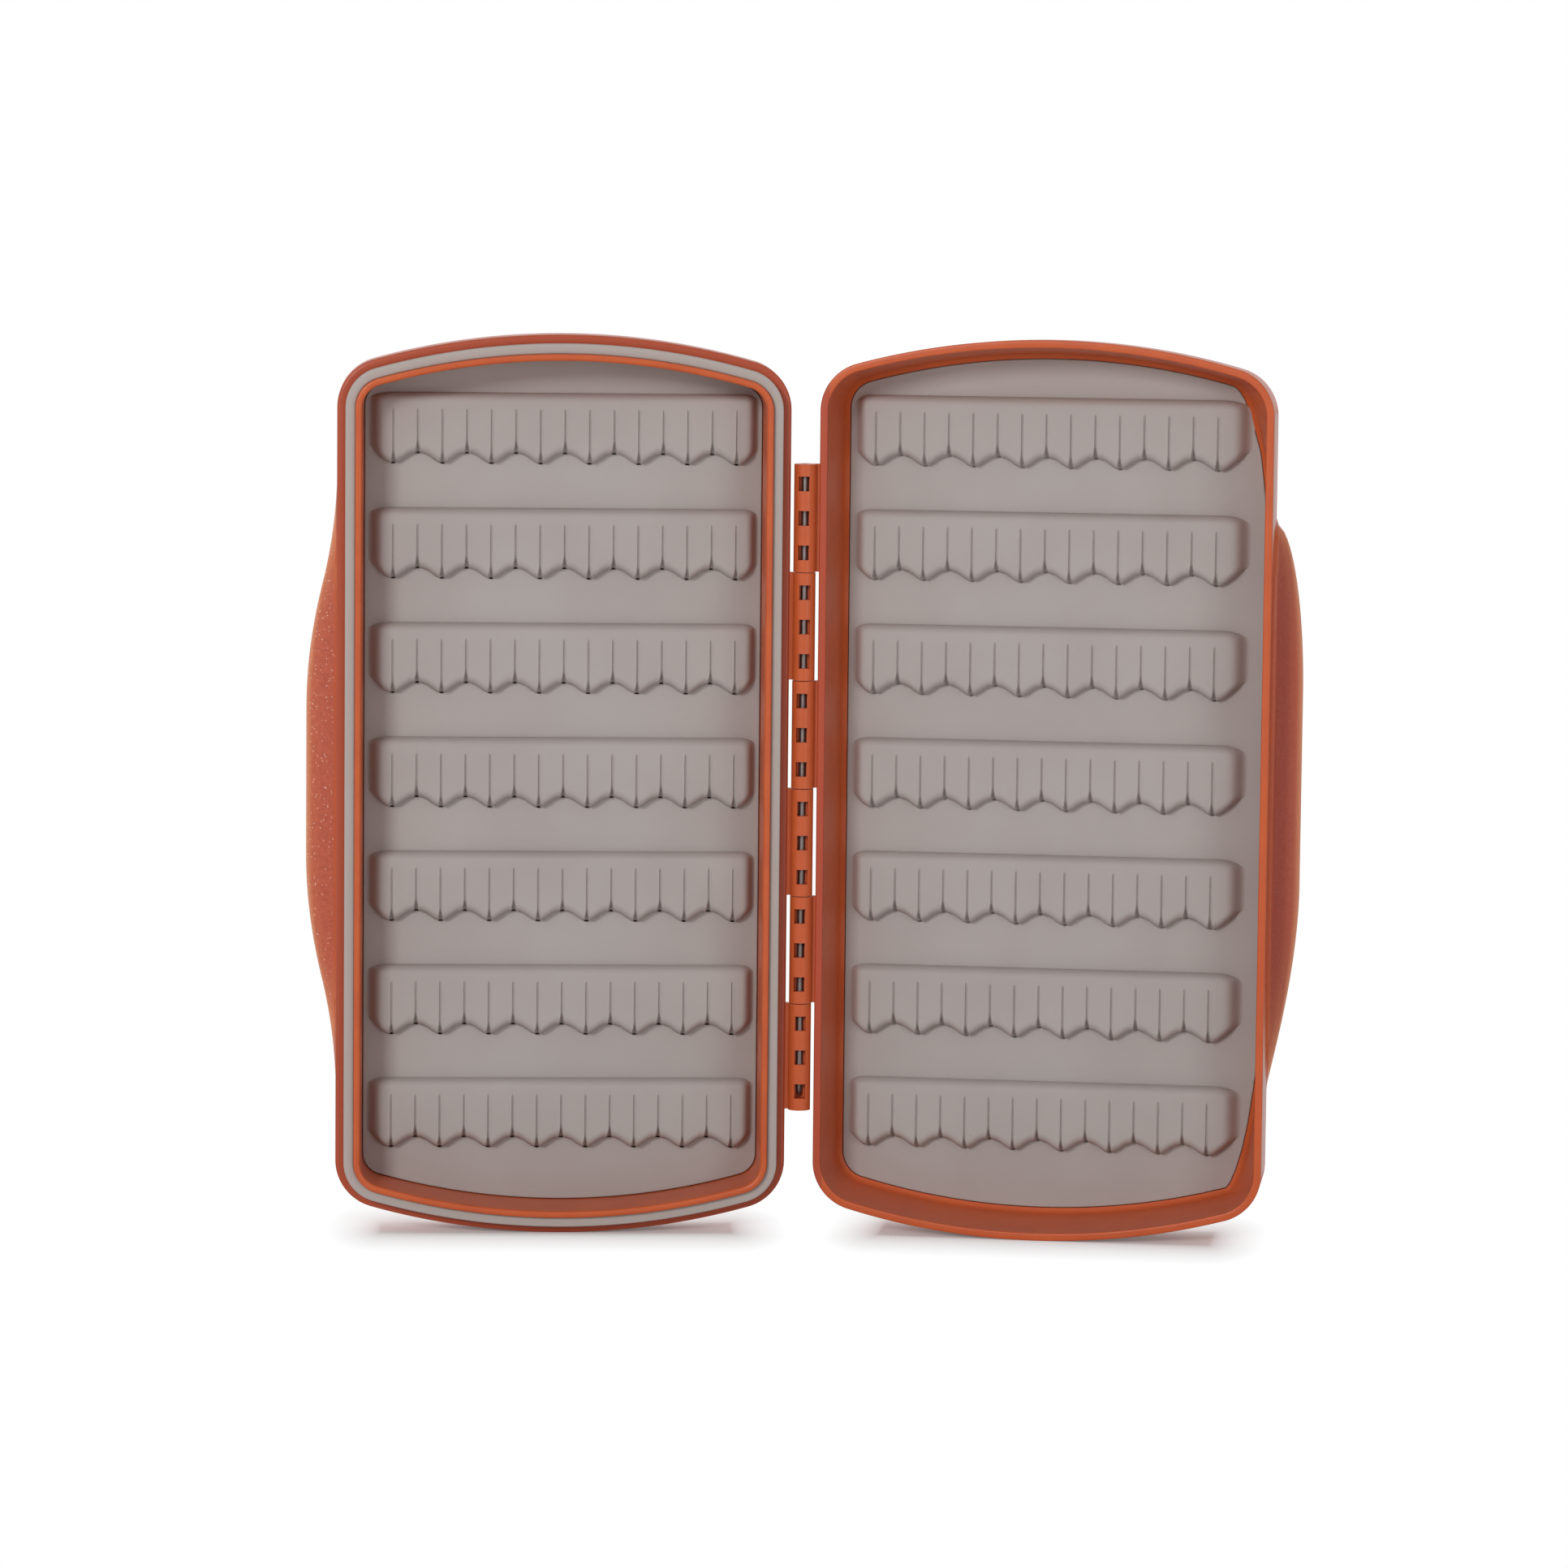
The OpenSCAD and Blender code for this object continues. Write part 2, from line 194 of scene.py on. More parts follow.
@dataclass(frozen=True)
class CaseSize:
    """Sizes that the sub-assemblies of the case share."""

    length: float = 184.0
    width: float = 92.0
    hinge_off: float = 2.9
    base_d: float = 13.0
    lid_d: float = 18.4
    arch_r: float = 143.0
    corner_r: float = 10.0
    back_r: float = 4.5
    rim_r: float = 0.3
    turn: float = 10.5
    base_wall: float = 2.0
    base_fillet: float = 2.6
    floor_t: float = 1.9
    edge_drop: float = 0.3
    grip_d: float = 5.8
    nose_r: float = 2.2
    frame_in: float = 5.36
    mat_t: float = 1.1
    film_t: float = 0.2
    lid_floor_in: float = 4.3
    base_grip: Grip = Grip(6.3, 15.0, 67.0)
    lid_grip: Grip = BowedGrip(5.9, 20.0, 55.0)

    @property
    def mid_a(self) -> float:
        """Middle of a half, out from the pin."""
        return self.hinge_off + self.width / 2

    @property
    def far_a(self) -> float:
        """Far wall of a half, out from the pin."""
        return self.hinge_off + self.width

    @property
    def origin(self) -> np.ndarray:
        """The shared frame's origin, seen from the pin's axis at mid length.

        Returns:
            Its (x, y, z) along the frame's directions.
        """
        c, s = math.cos(math.radians(self.turn)), math.sin(math.radians(self.turn))
        x_low = -(self.far_a + self.base_grip.reach)
        nose_a = self.far_a + self.lid_grip.reach - self.nose_r
        x_high = nose_a * c + (self.lid_d - self.nose_r) * s + self.nose_r
        y_low = -(self.far_a - self.rim_r) * s
        back_a = self.hinge_off + self.back_r
        y_high = -back_a * s + (self.lid_d - self.back_r) * c + self.back_r
        return np.array([(x_low + x_high) / 2, (y_low + y_high) / 2, -self.length / 2])

    def ways(self, half: Half) -> tuple[np.ndarray, np.ndarray]:
        """Directions in the shared frame: out from the pin, and deeper into a half.

        Args:
            half: the half.

        Returns:
            Both directions, each one long.
        """
        c, s = math.cos(math.radians(self.turn)), math.sin(math.radians(self.turn))
        out = half.pick([-1.0, 0.0, 0.0], [c, -s, 0.0])
        deeper = half.pick([0.0, 1.0, 0.0], [s, c, 0.0])
        return np.array(out), np.array(deeper)

    def grip(self, half: Half) -> Grip:
        """Grip of a half."""
        return half.pick(self.base_grip, self.lid_grip)

    def deep(self, half: Half) -> float:
        """Depth of a half behind the meeting plane."""
        return half.pick(self.base_d, self.lid_d)

    def mat_face(self, half: Half) -> float:
        """Depth of the mat's face."""
        return self.deep(half) - self.floor_t - self.film_t - self.mat_t


SIZE = CaseSize()
FLOOR = TrayFloor()


# ---------------------------------------------------------------- shape helpers


def to_frame(points: np.ndarray, half: Half) -> np.ndarray:
    """Places points of a half in the shared frame.

    Args:
        points: rows of (a, d, z).
        half: the half they belong to.

    Returns:
        The points in metres.
    """
    out, deeper = SIZE.ways(half)
    places = points[:, :1] * out + points[:, 1:2] * deeper + points[:, 2:] * UP
    return (places - SIZE.origin) * MM


def place(name: str, data: bpy.types.ID) -> bpy.types.Object:
    """Makes an object of its data and adds it to the scene.

    Args:
        name: its name.
        data: its mesh, lamp or camera.

    Returns:
        The new object.
    """
    thing = bpy.data.objects.new(name, data)
    bpy.context.scene.collection.objects.link(thing)
    return thing


@dataclass(frozen=True)
class Ring:
    """One step of a section: an outline at an inset and a depth.

    push is how far the far side bulges out along the grip, and taper how far each arched
    end is drawn in. spread and cut are the shares of the lid floor's spread and of its wide
    corners, and most is the furthest that the spread may reach out.
    """

    inset: float
    depth: float
    push: float = 0.0
    spread: float = 0.0
    cut: float = 0.0
    taper: float = 0.0
    most: float = 99.0


def round_edge(
    inset: float, depth: float, radius: float, start: float, stop: float, steps: int = 5
) -> list[Ring]:
    """Rings around a rounded edge whose circle is centred at an inset and depth.

    Args:
        inset: inset of the circle's centre.
        depth: depth of the circle's centre.
        radius: its radius.
        start: first angle in degrees, 0 pointing inward and 90 pointing deeper.
        stop: last angle.
        steps: number of steps between them.

    Returns:
        The rings in order.
    """
    turns = [math.radians(start + (stop - start) * i / steps) for i in range(steps + 1)]
    return [Ring(inset + radius * math.cos(t), depth + radius * math.sin(t)) for t in turns]


@dataclass
class Outline:
    """The plan outline of a half, sampled with a fixed number of points."""

    side: int = 110
    corner: int = 22
    arch: int = 56
    arch_gap: float = 0.4
    spread_power: float = 8.0

    def __post_init__(self) -> None:
        """Finds the corners' centres and the angle that each corner turns through."""
        self.corner_x = SIZE.width / 2 - SIZE.corner_r
        self.arch_z = SIZE.length / 2 - SIZE.arch_r
        between = SIZE.arch_r - SIZE.corner_r
        self.corner_z = self.arch_z + math.sqrt(between**2 - self.corner_x**2)
        self.turn = math.degrees(math.atan2(self.corner_z - self.arch_z, self.corner_x))

    @staticmethod
    def arc(x: float, z: float, r: float, start: float, stop: float, n: int) -> np.ndarray:
        """Points of an arc around (x, z), from one angle to another in n steps."""
        t = np.radians(np.linspace(start, stop, n + 1))
        return np.stack([x + r * np.cos(t), z + r * np.sin(t)], axis=1)

    def at(self, ring: Ring, grip: Optional[Grip] = None) -> np.ndarray:
        """Outline of one ring.

        Args:
            ring: the step of the section.
            grip: the grip whose length the ring's push follows.

        Returns:
            Rows of (a, z) in order.
        """
        z = np.linspace(-self.corner_z, self.corner_z, self.side + 2)[1:-1]
        share = grip.share(z) if grip else np.zeros_like(z)
        wall = SIZE.far_a - ring.inset
        far = np.stack([wall + ring.push * share, z], axis=1)
        mid, cx, cz, t = SIZE.mid_a, self.corner_x, self.corner_z, self.turn
        cr, ar, gap = SIZE.corner_r - ring.inset, SIZE.arch_r - ring.inset, self.arch_gap
        flat = np.concatenate(
            [
                far,
                self.arc(mid + cx, cz, cr, 0, t, self.corner),
                self.arc(mid, self.arch_z, ar, t + gap, 180 - t - gap, self.arch),
                self.arc(mid - cx, cz, cr, 180 - t, 180, self.corner),
                self.arc(mid - cx, -cz, cr, 180, 180 + t, self.corner),
                self.arc(mid, -self.arch_z, ar, 180 + t + gap, 360 - t - gap, self.arch),
                self.arc(mid + cx, -cz, cr, 360 - t, 360, self.corner),
            ]
        )
        if ring.spread or ring.cut:
            shift = FLOOR.push(flat[:, 1])
            out = np.minimum(np.clip(shift, 0, None) * ring.spread, ring.most)
            back = np.clip(shift, None, 0) * ring.cut
            side = np.clip((flat[:, 0] - mid) / (cx + cr), 0, 1) ** self.spread_power
            flat[:, 0] = np.minimum(flat[:, 0] + out * side, wall + out + back)
        flat[:, 1] *= 1 - ring.taper * 2 / SIZE.length
        return flat


class Solid:
    """Collects vertices and faces in half coordinates and makes a mesh object."""

    def __init__(self) -> None:
        """Starts empty."""
        self.points: list[np.ndarray] = []
        self.faces: list[Sequence[int]] = []
        self.count = 0

    def add(self, points: np.ndarray) -> int:
        """Adds points.

        Args:
            points: rows of (a, d, z).

        Returns:
            The index of the first of them.
        """
        start = self.count
        self.points.append(np.asarray(points, float))
        self.count += len(points)
        return start

    def band(self, one: Sequence[int], other: Sequence[int]) -> None:
        """Joins two closed loops with quads.

        Args:
            one: indices of the points of the first loop.
            other: as many indices for the second.
        """
        for i in range(len(one)):
            k = (i + 1) % len(one)
            self.faces.append((one[i], one[k], other[k], other[i]))

    def skin(self, loops: Iterable[np.ndarray], closed: bool) -> None:
        """Skins a run of closed loops of equally many points.

        Args:
            loops: rows of (a, d, z) of each loop, from start to end.
            closed: True joins the last loop to the first, False caps both.
        """
        steps = []
        for loop in loops:
            start = self.add(loop)
            steps.append(range(start, start + len(loop)))
        for one, other in zip(steps, steps[1:]):
            self.band(one, other)
        if closed:
            self.band(steps[-1], steps[0])
        else:
            self.faces += [steps[0][::-1], steps[-1]]

    def rings(
        self,
        outline: Outline,
        rings: Iterable[Ring],
        grip: Optional[Grip] = None,
        closed: bool = False,
    ) -> None:
        """Skins a run of rings.

        Args:
            outline: sampled outline of the half.
            rings: section from start to end.
            grip: grip that pushes the far side out.
            closed: True joins the last ring to the first, False caps both.
        """
        loops = []
        for ring in rings:
            flat = outline.at(ring, grip)
            depth = np.full(len(flat), ring.depth)
            loops.append(np.stack([flat[:, 0], depth, flat[:, 1]], axis=1))
        self.skin(loops, closed)

    def build(self, name: str, half: Half, smooth: float = 35.0) -> bpy.types.Object:
        """Makes the object.

        Args:
            name: its name.
            half: the half its coordinates belong to.
            smooth: edges sharper than this angle stay sharp.

        Returns:
            The new object, at the origin.
        """
        points = to_frame(np.concatenate(self.points), half)
        mesh = bpy.data.meshes.new(name)
        mesh.from_pydata(points.tolist(), [], [list(f) for f in self.faces])
        work = bmesh.new()
        work.from_mesh(mesh)
        bmesh.ops.remove_doubles(work, verts=work.verts, dist=MERGE)
        bmesh.ops.recalc_face_normals(work, faces=work.faces)
        work.to_mesh(mesh)
        work.free()
        mesh.validate()
        mesh.shade_smooth()
        mesh.set_sharp_from_angle(angle=math.radians(smooth))
        return place(name, mesh)


# ---------------------------------------------------------------- node helpers


class Sock:
    """A value in a node tree that combines with plain operators."""

    def __init__(self, tree: "Tree", source: Union[bpy.types.NodeSocket, float]) -> None:
        """Wraps a socket or a number."""
        self.tree, self.source = tree, source

    def math(self, kind: str, *others: Union["Sock", float]) -> "Sock":
        """Runs a Math node.

        Args:
            kind: the node's operation.
            others: its other inputs.

        Returns:
            The result.
        """
        values = dict(enumerate((self, *others)))
        return self.tree.sock("ShaderNodeMath", 0, values, operation=kind)

    def __add__(self, other: Union["Sock", float]) -> "Sock":
        """This plus another."""
        return self.math("ADD", other)

    def __sub__(self, other: Union["Sock", float]) -> "Sock":
        """This less another."""
        return self.math("SUBTRACT", other)

    def __mul__(self, other: Union["Sock", float]) -> "Sock":
        """This times another."""
        return self.math("MULTIPLY", other)

    def __truediv__(self, other: Union["Sock", float]) -> "Sock":
        """This over another."""
        return self.math("DIVIDE", other)

    def __pow__(self, other: float) -> "Sock":
        """This to a power."""
        return self.math("POWER", other)

    def __radd__(self, other: float) -> "Sock":
        """A number plus this."""
        return self.math("ADD", other)

    def __rsub__(self, other: float) -> "Sock":
        """A number less this."""
        return Sock(self.tree, other).math("SUBTRACT", self)

    def __rmul__(self, other: float) -> "Sock":
        """A number times this."""
        return self.math("MULTIPLY", other)

    def __rtruediv__(self, other: float) -> "Sock":
        """A number over this."""
        return Sock(self.tree, other).math("DIVIDE", self)

    def at_least(self, other: Union["Sock", float]) -> "Sock":
        """The larger of this and another."""
        return self.math("MAXIMUM", other)

    def at_most(self, other: Union["Sock", float]) -> "Sock":
        """The smaller of this and another."""
        return self.math("MINIMUM", other)

    def clamp(self) -> "Sock":
        """Keeps the value between 0 and 1."""
        return self.at_least(0.0).at_most(1.0)

    def ramp(self, start: float, stop: float) -> "Sock":
        """Ramp from 0 at start to 1 at stop."""
        return ((self - start) / (stop - start)).clamp()

    def ramp_mm(self, start: float, stop: float, at: float = 0.0) -> "Sock":
        """Ramp of a distance in metres between two millimetre lengths, counted from at."""
        return self.ramp((at + start) * MM, (at + stop) * MM)


class Tree:
    """A node tree that is filled through one method."""

    def __init__(self, tree: bpy.types.NodeTree) -> None:
        """Takes a tree and empties it."""
        self.tree = tree
        tree.nodes.clear()

    def node(
        self,
        kind: str,
        inputs: Optional[Mapping[Union[int, str], object]] = None,
        **settings: object,
    ) -> bpy.types.Node:
        """Adds a node.

        Args:
            kind: its type.
            inputs: a value, a link or a list of links for each socket, by number or name.
            settings: attributes of the node, which are set first.

        Returns:
            The node.
        """
        node = self.tree.nodes.new(kind)
        for key, value in settings.items():
            setattr(node, key, value)
        for key, value in (inputs or {}).items():
            for one in value if isinstance(value, list) else [value]:
                self.fill(node.inputs[key], one)
        return node

    def fill(self, socket: bpy.types.NodeSocket, value: object) -> None:
        """Links a socket to another or sets its value.

        Args:
            socket: the input socket.
            value: a wrapped or plain socket, a number, a vector or a colour.
        """
        source = value.source if isinstance(value, Sock) else value
        if isinstance(source, bpy.types.NodeSocket):
            self.tree.links.new(source, socket)
        elif socket.type == "RGBA":
            socket.default_value = (*source, 1.0)
        else:
            socket.default_value = source

    def sock(
        self,
        kind: str,
        output: Union[int, str] = 0,
        inputs: Optional[Mapping[Union[int, str], object]] = None,
        **settings: object,
    ) -> Sock:
        """Adds a node and wraps one of its outputs.

        Args:
            kind: its type.
            output: number or name of the output.
            inputs: a value or a link for each socket.
            settings: attributes of the node.

        Returns:
            The output.
        """
        return Sock(self, self.node(kind, inputs, **settings).outputs[output])


def linear(red: float, green: float, blue: float) -> Triple:
    """Turns a display colour into a linear one.

    Args:
        red: value from 0 to 255.
        green: value from 0 to 255.
        blue: value from 0 to 255.

    Returns:
        The three linear values.
    """

    def one(value: float) -> float:
        """Turns one of them."""
        value /= 255
        return value / 12.92 if value <= 0.04045 else ((value + 0.055) / 1.055) ** 2.4

    return one(red), one(green), one(blue)


@dataclass(frozen=True)
class Grain:
    """A pattern: how many bumps per millimetre, its detail, and the ramp put over it."""

    per_mm: float
    detail: float = 2.0
    ramp: Optional[tuple[float, float]] = None


class Surface(Tree):
    """The tree of a new material, with its patterns on Object coordinates."""

    def __init__(self, name: str) -> None:
        """Makes an empty material.

        Args:
            name: its name.
        """
        self.material = bpy.data.materials.new(name)
        self.material.use_nodes = True
        super().__init__(self.material.node_tree)
        self.coords = self.sock("ShaderNodeTexCoord", "Object")

    def noise(self, grain: Grain) -> Sock:
        """Noise from 0 to 1, under the grain's ramp where it has one.

        Args:
            grain: its scale, detail and ramp.

        Returns:
            The noise.
        """
        inputs = {"Vector": self.coords, "Scale": grain.per_mm / MM, "Detail": grain.detail}
        value = self.sock("ShaderNodeTexNoise", 0, inputs)
        return value.ramp(*grain.ramp) if grain.ramp else value

    def cells(self, per_mm: float) -> Sock:
        """Distance to scattered points, in cells."""
        inputs = {"Vector": self.coords, "Scale": per_mm / MM}
        return self.sock("ShaderNodeTexVoronoi", "Distance", inputs)

    def specks(self, grain: Grain) -> Sock:
        """Round specks at scattered points."""
        return (1 - self.cells(grain.per_mm)).ramp(*grain.ramp)

    def along(self, way: Sequence[float], shift: float = 0.0) -> Sock:
        """Distance along a direction in metres, plus a shift."""
        inputs = {0: self.coords, 1: tuple(way)}
        return self.sock("ShaderNodeVectorMath", "Value", inputs, operation="DOT_PRODUCT") + shift

    def mix(self, share: Sock, one: Union[Triple, Sock], other: Union[Triple, Sock]) -> Sock:
        """Mixes two colours.

        Args:
            share: 0 gives the first, 1 the second.
            one: first colour.
            other: second colour.

        Returns:
            The mixed colour.
        """
        inputs = {"Factor": share, "A": one, "B": other}
        return self.sock("ShaderNodeMix", "Result", inputs, data_type="RGBA")


class Shader(Surface):
    """A material around one Principled shader."""

    def __init__(self, name: str) -> None:
        """Makes the material with a plain shader.

        Args:
            name: its name.
        """
        super().__init__(name)
        self.body = self.node("ShaderNodeBsdfPrincipled")
        self.node("ShaderNodeOutputMaterial", {"Surface": self.body.outputs[0]})

    def set(self, name: str, value: Union[float, Triple, Sock]) -> None:
        """Sets an input of the Principled shader."""
        self.fill(self.body.inputs[name], value)

    def bump(self, height: Sock, millimetres: float, strength: float) -> None:
        """Bumps the surface.

        Args:
            height: height from 0 to 1.
            millimetres: depth of the relief.
            strength: how strongly it shows.
        """
        inputs = {"Strength": strength, "Distance": millimetres * MM, "Height": height}
        self.set("Normal", self.sock("ShaderNodeBump", 0, inputs))


class GeoTree(Tree):
    """A Geometry Nodes group with named inputs, run once on an object."""

    def __init__(self, name: str, kinds: Mapping[str, str]) -> None:
        """Makes the group.

        Args:
            name: its name.
            kinds: socket type, without its NodeSocket prefix, of each named input.
        """
        super().__init__(bpy.data.node_groups.new(name, "GeometryNodeTree"))
        new = self.tree.interface.new_socket
        new("Geometry", in_out="OUTPUT", socket_type="NodeSocketGeometry")
        self.ids = {
            key: new(key, in_out="INPUT", socket_type=f"NodeSocket{kind}").identifier
            for key, kind in kinds.items()
        }
        self.given = self.node("NodeGroupInput").outputs

    def copies(
        self, thing: bpy.types.NodeSocket, count: object, step: object, start: object = (0, 0, 0)
    ) -> bpy.types.NodeSocket:
        """Repeats geometry along a straight line.

        Args:
            thing: the geometry.
            count: number of copies.
            step: way from each copy to the next.
            start: place of the first.

        Returns:
            The copies, as instances.
        """
        inputs = {"Count": count, "Start Location": start, "Offset": step}
        line = self.node("GeometryNodeMeshLine", inputs).outputs[0]
        inputs = {"Points": line, "Instance": thing}
        return self.node("GeometryNodeInstanceOnPoints", inputs).outputs[0]

    def real(self, thing: bpy.types.NodeSocket) -> bpy.types.NodeSocket:
        """Turns instances into real geometry."""
        return self.node("GeometryNodeRealizeInstances", {0: thing}).outputs[0]

    def finish(self, thing: bpy.types.NodeSocket) -> None:
        """Ends the group with Realize Instances and Set Material.

        Args:
            thing: the group's result.
        """
        inputs = {0: self.real(thing), "Material": self.given["Material"]}
        done = self.node("GeometryNodeSetMaterial", inputs)
        self.node("NodeGroupOutput", {0: done.outputs[0]})

    def run(self, name: str, values: Mapping[str, object]) -> bpy.types.Object:
        """Runs the group and keeps its result as a plain mesh.

        Args:
            name: name of the new object.
            values: value of each named input.

        Returns:
            The new object.
        """
        holder = place(name, bpy.data.meshes.new(name))
        modifier = holder.modifiers.new("make", "NODES")
        modifier.node_group = self.tree
        for key, value in values.items():
            modifier[self.ids[key]] = value
        bpy.context.view_layer.update()
        seen = holder.evaluated_get(bpy.context.evaluated_depsgraph_get())
        mesh = bpy.data.meshes.new_from_object(seen)
        holder.modifiers.clear()
        holder.data = mesh
        mesh.name = name
        return holder


# ---------------------------------------------------------------- finishes


@dataclass(frozen=True)
class ShellFinish:
    """Satin orange moulding with a grained grip and a glossy side.

    Painted shade darkens and reddens its rim band, a painted highlight lightens the grip's nose,
    and painted glints speckle the grip. The _ramp lengths and the start of the rim's shade
    say where a mask fades in, past the wall it starts from.
    """

    name: str
    half: Half
    colour: Triple = linear(190, 85, 40)
    deep: Triple = linear(183, 80, 39)
    patches: Grain = Grain(0.15, 3, (0.3, 0.7))
    # Painted shade: rim is the darker, redder colour painted on the rim band, which the rim_
    # sizes bound.
    rim: Optional[Triple] = None
    rim_shade_depth: float = 1.4
    rim_shade_to: float = 200.0
    rim_shade_fade: float = 0.4
    rim_shade_start: tuple[float, float] = (0.0, 0.1)
    grip: Triple = linear(184, 88, 62)
    grip_ramp: tuple[float, float] = (0.4, 0.8)
    side_ramp: tuple[float, float] = (-0.06, 0.02)
    shelf_ramp: tuple[float, float] = (0.5, 1.0)
    shelf_out: float = 0.8
    rough_grip: Triple = linear(158, 66, 46)
    scuffs: Grain = Grain(1.3, 3, (0.38, 0.66))
    scuff: float = 0.5
    # Painted highlight: the grip's nose is painted lighter where it faces outward, standing in
    # for a grazing reflection.
    nose_highlight: Triple = linear(226, 152, 110)
    nose_highlight_share: float = 0.8
    # Painted glints: scattered specks on the grip are painted in this lighter colour.
    glint_tint: Triple = linear(236, 196, 180)
    glint_specks: Grain = Grain(1.3, ramp=(0.78, 0.9))
    glint_groups: Grain = Grain(0.3, 1, (0.3, 0.5))
    glint: float = 0.8
    roughness: float = 0.3
    sheen: Grain = Grain(0.8)
    swing: float = 0.08
    side_gloss: float = 0.26
    grip_dullness: float = 0.16
    ripple: Grain = Grain(4.0)
    ripple_share: float = 0.1
    grit: Grain = Grain(3.0, 3)
    pebbles: float = 2.2
    pebble_share: float = 0.6
    relief: float = 0.08
    relief_share: float = 0.8
    specular: float = 0.34

    def make(self) -> bpy.types.Material:
        """Builds the material.

        Returns:
            The new material.
        """
        s = Shader(self.name)
        out, depth = (s.along(way, way @ SIZE.origin * MM) for way in SIZE.ways(self.half))
        shelf_d = SIZE.deep(self.half) - SIZE.grip_d - self.shelf_out
        beyond = out.ramp_mm(*self.side_ramp, SIZE.far_a)
        shelf = depth.ramp_mm(*self.shelf_ramp, shelf_d)
        grip = out.ramp_mm(*self.grip_ramp, SIZE.far_a) * shelf
        side = beyond * (1 - shelf)
        colour = s.mix(s.noise(self.patches), self.colour, self.deep)
        # Painted shade: the rim band is painted darker and redder, all round on the base and only
        # near the pin on the lid.
        if self.rim:
            edge = 1 - depth.ramp_mm(self.rim_shade_depth, self.rim_shade_depth + self.rim_shade_fade)
            edge = edge * out.ramp_mm(*self.rim_shade_start, SIZE.hinge_off)
            edge = edge * (1 - out.ramp_mm(self.rim_shade_to - self.rim_shade_fade, self.rim_shade_to))
            colour = s.mix(edge, colour, self.rim)
        colour = s.mix(grip, colour, self.grip)
        colour = s.mix(grip * s.noise(self.scuffs) * self.scuff, colour, self.rough_grip)
        # Painted highlight: lighter colour on the grip's nose where it faces outward.
        nose = s.sock("ShaderNodeAttribute", "Fac", attribute_name=NOSE)
        colour = s.mix(nose * self.nose_highlight_share, colour, self.nose_highlight)
        # Painted glints: lighter specks scattered over the grip.
        glint = s.specks(self.glint_specks) * s.noise(self.glint_groups)
        s.set("Base Color", s.mix(glint * grip * self.glint, colour, self.glint_tint))
        rough = s.noise(self.sheen) * self.swing + self.roughness
        s.set("Roughness", rough - side * self.side_gloss + grip * self.grip_dullness)
        grain = s.noise(self.grit) * grip + s.cells(self.pebbles) * grip * self.pebble_share
        ripple = s.noise(self.ripple) * self.ripple_share
        s.bump(ripple + grain, self.relief, self.relief_share)
        s.set("Specular IOR Level", self.specular)
        return s.material


@dataclass(frozen=True)
class PlainFinish:
    """A surface with faint patches of a second colour and a fine relief."""

    name: str
    colour: Triple
    patch: Triple
    patches: Grain
    roughness: float
    sheen: Optional[Grain] = None
    swing: float = 0.1
    ripple: Optional[Grain] = None
    relief: float = 0.02
    relief_share: float = 0.4
    metallic: float = 0.0
    specular: float = 0.5

    def tint(self, s: Shader) -> Sock:
        """Colour over the surface."""
        return s.mix(s.noise(self.patches), self.colour, self.patch)

    def make(self) -> bpy.types.Material:
        """Builds the material.

        Returns:
            The new material.
        """
        s = Shader(self.name)
        s.set("Base Color", self.tint(s))
        s.set("Metallic", self.metallic)
        s.set("Specular IOR Level", self.specular)
        rough = self.roughness
        s.set("Roughness", s.noise(self.sheen) * self.swing + rough if self.sheen else rough)
        if self.ripple:
            s.bump(s.noise(self.ripple), self.relief, self.relief_share)
        return s.material


@dataclass(frozen=True)
class DustyFinish(PlainFinish):
    """The same with a few specks of dust."""

    speck: Triple = linear(70, 60, 58)
    specks: Grain = Grain(0.07, ramp=(0.982, 0.988))
    groups: Grain = Grain(0.03, 1, (0.45, 0.55))
    show: float = 0.8

    def tint(self, s: Shader) -> Sock:
        """Colour over the surface, with the dust on it."""
        dust = s.specks(self.specks) * s.noise(self.groups) * self.show
        return s.mix(dust, super().tint(s), self.speck)


# The base's rim band is painted darker all round, as painted shade.
BASE_SHELL = ShellFinish("orange_base", Half.BASE, rim=linear(168, 72, 43))
# The lid's rim is painted darker only on its hinge side, near the pin, as painted shade.
LID_SHELL = ShellFinish(
    "orange_lid",
    Half.LID,
    rim=linear(168, 68, 40),
    rim_shade_depth=0.5,
    rim_shade_to=5.0,
    grip=linear(168, 75, 55),
    glint=0.1,
)
FRAME = ShellFinish("orange_frame", Half.BASE, colour=linear(192, 88, 41))
MAT = DustyFinish(
    "mat",
    linear(166, 159, 156),
    linear(163, 155, 152),
    patches=Grain(0.05, ramp=(0.35, 0.65)),
    roughness=0.73,
    sheen=Grain(0.6),
    ripple=Grain(2.2, 3),
    relief=0.03,
    relief_share=0.5,
    specular=0.25,
)
SEAL = PlainFinish(
    "seal",
    linear(168, 157, 152),
    linear(163, 152, 147),
    patches=Grain(0.1),
    roughness=0.55,
    sheen=Grain(0.5),
    ripple=Grain(1.2),
)
STEEL = PlainFinish(
    "steel",
    linear(140, 132, 130),
    linear(112, 104, 102),
    patches=Grain(0.6),
    roughness=0.42,
    sheen=Grain(1.5),
    swing=0.15,
    ripple=Grain(3.0),
    relief=0.01,
    metallic=1.0,
)
FILM = PlainFinish("film", linear(224, 220, 210), linear(214, 210, 200), Grain(0.3), 0.6)


# ---------------------------------------------------------------- pieces


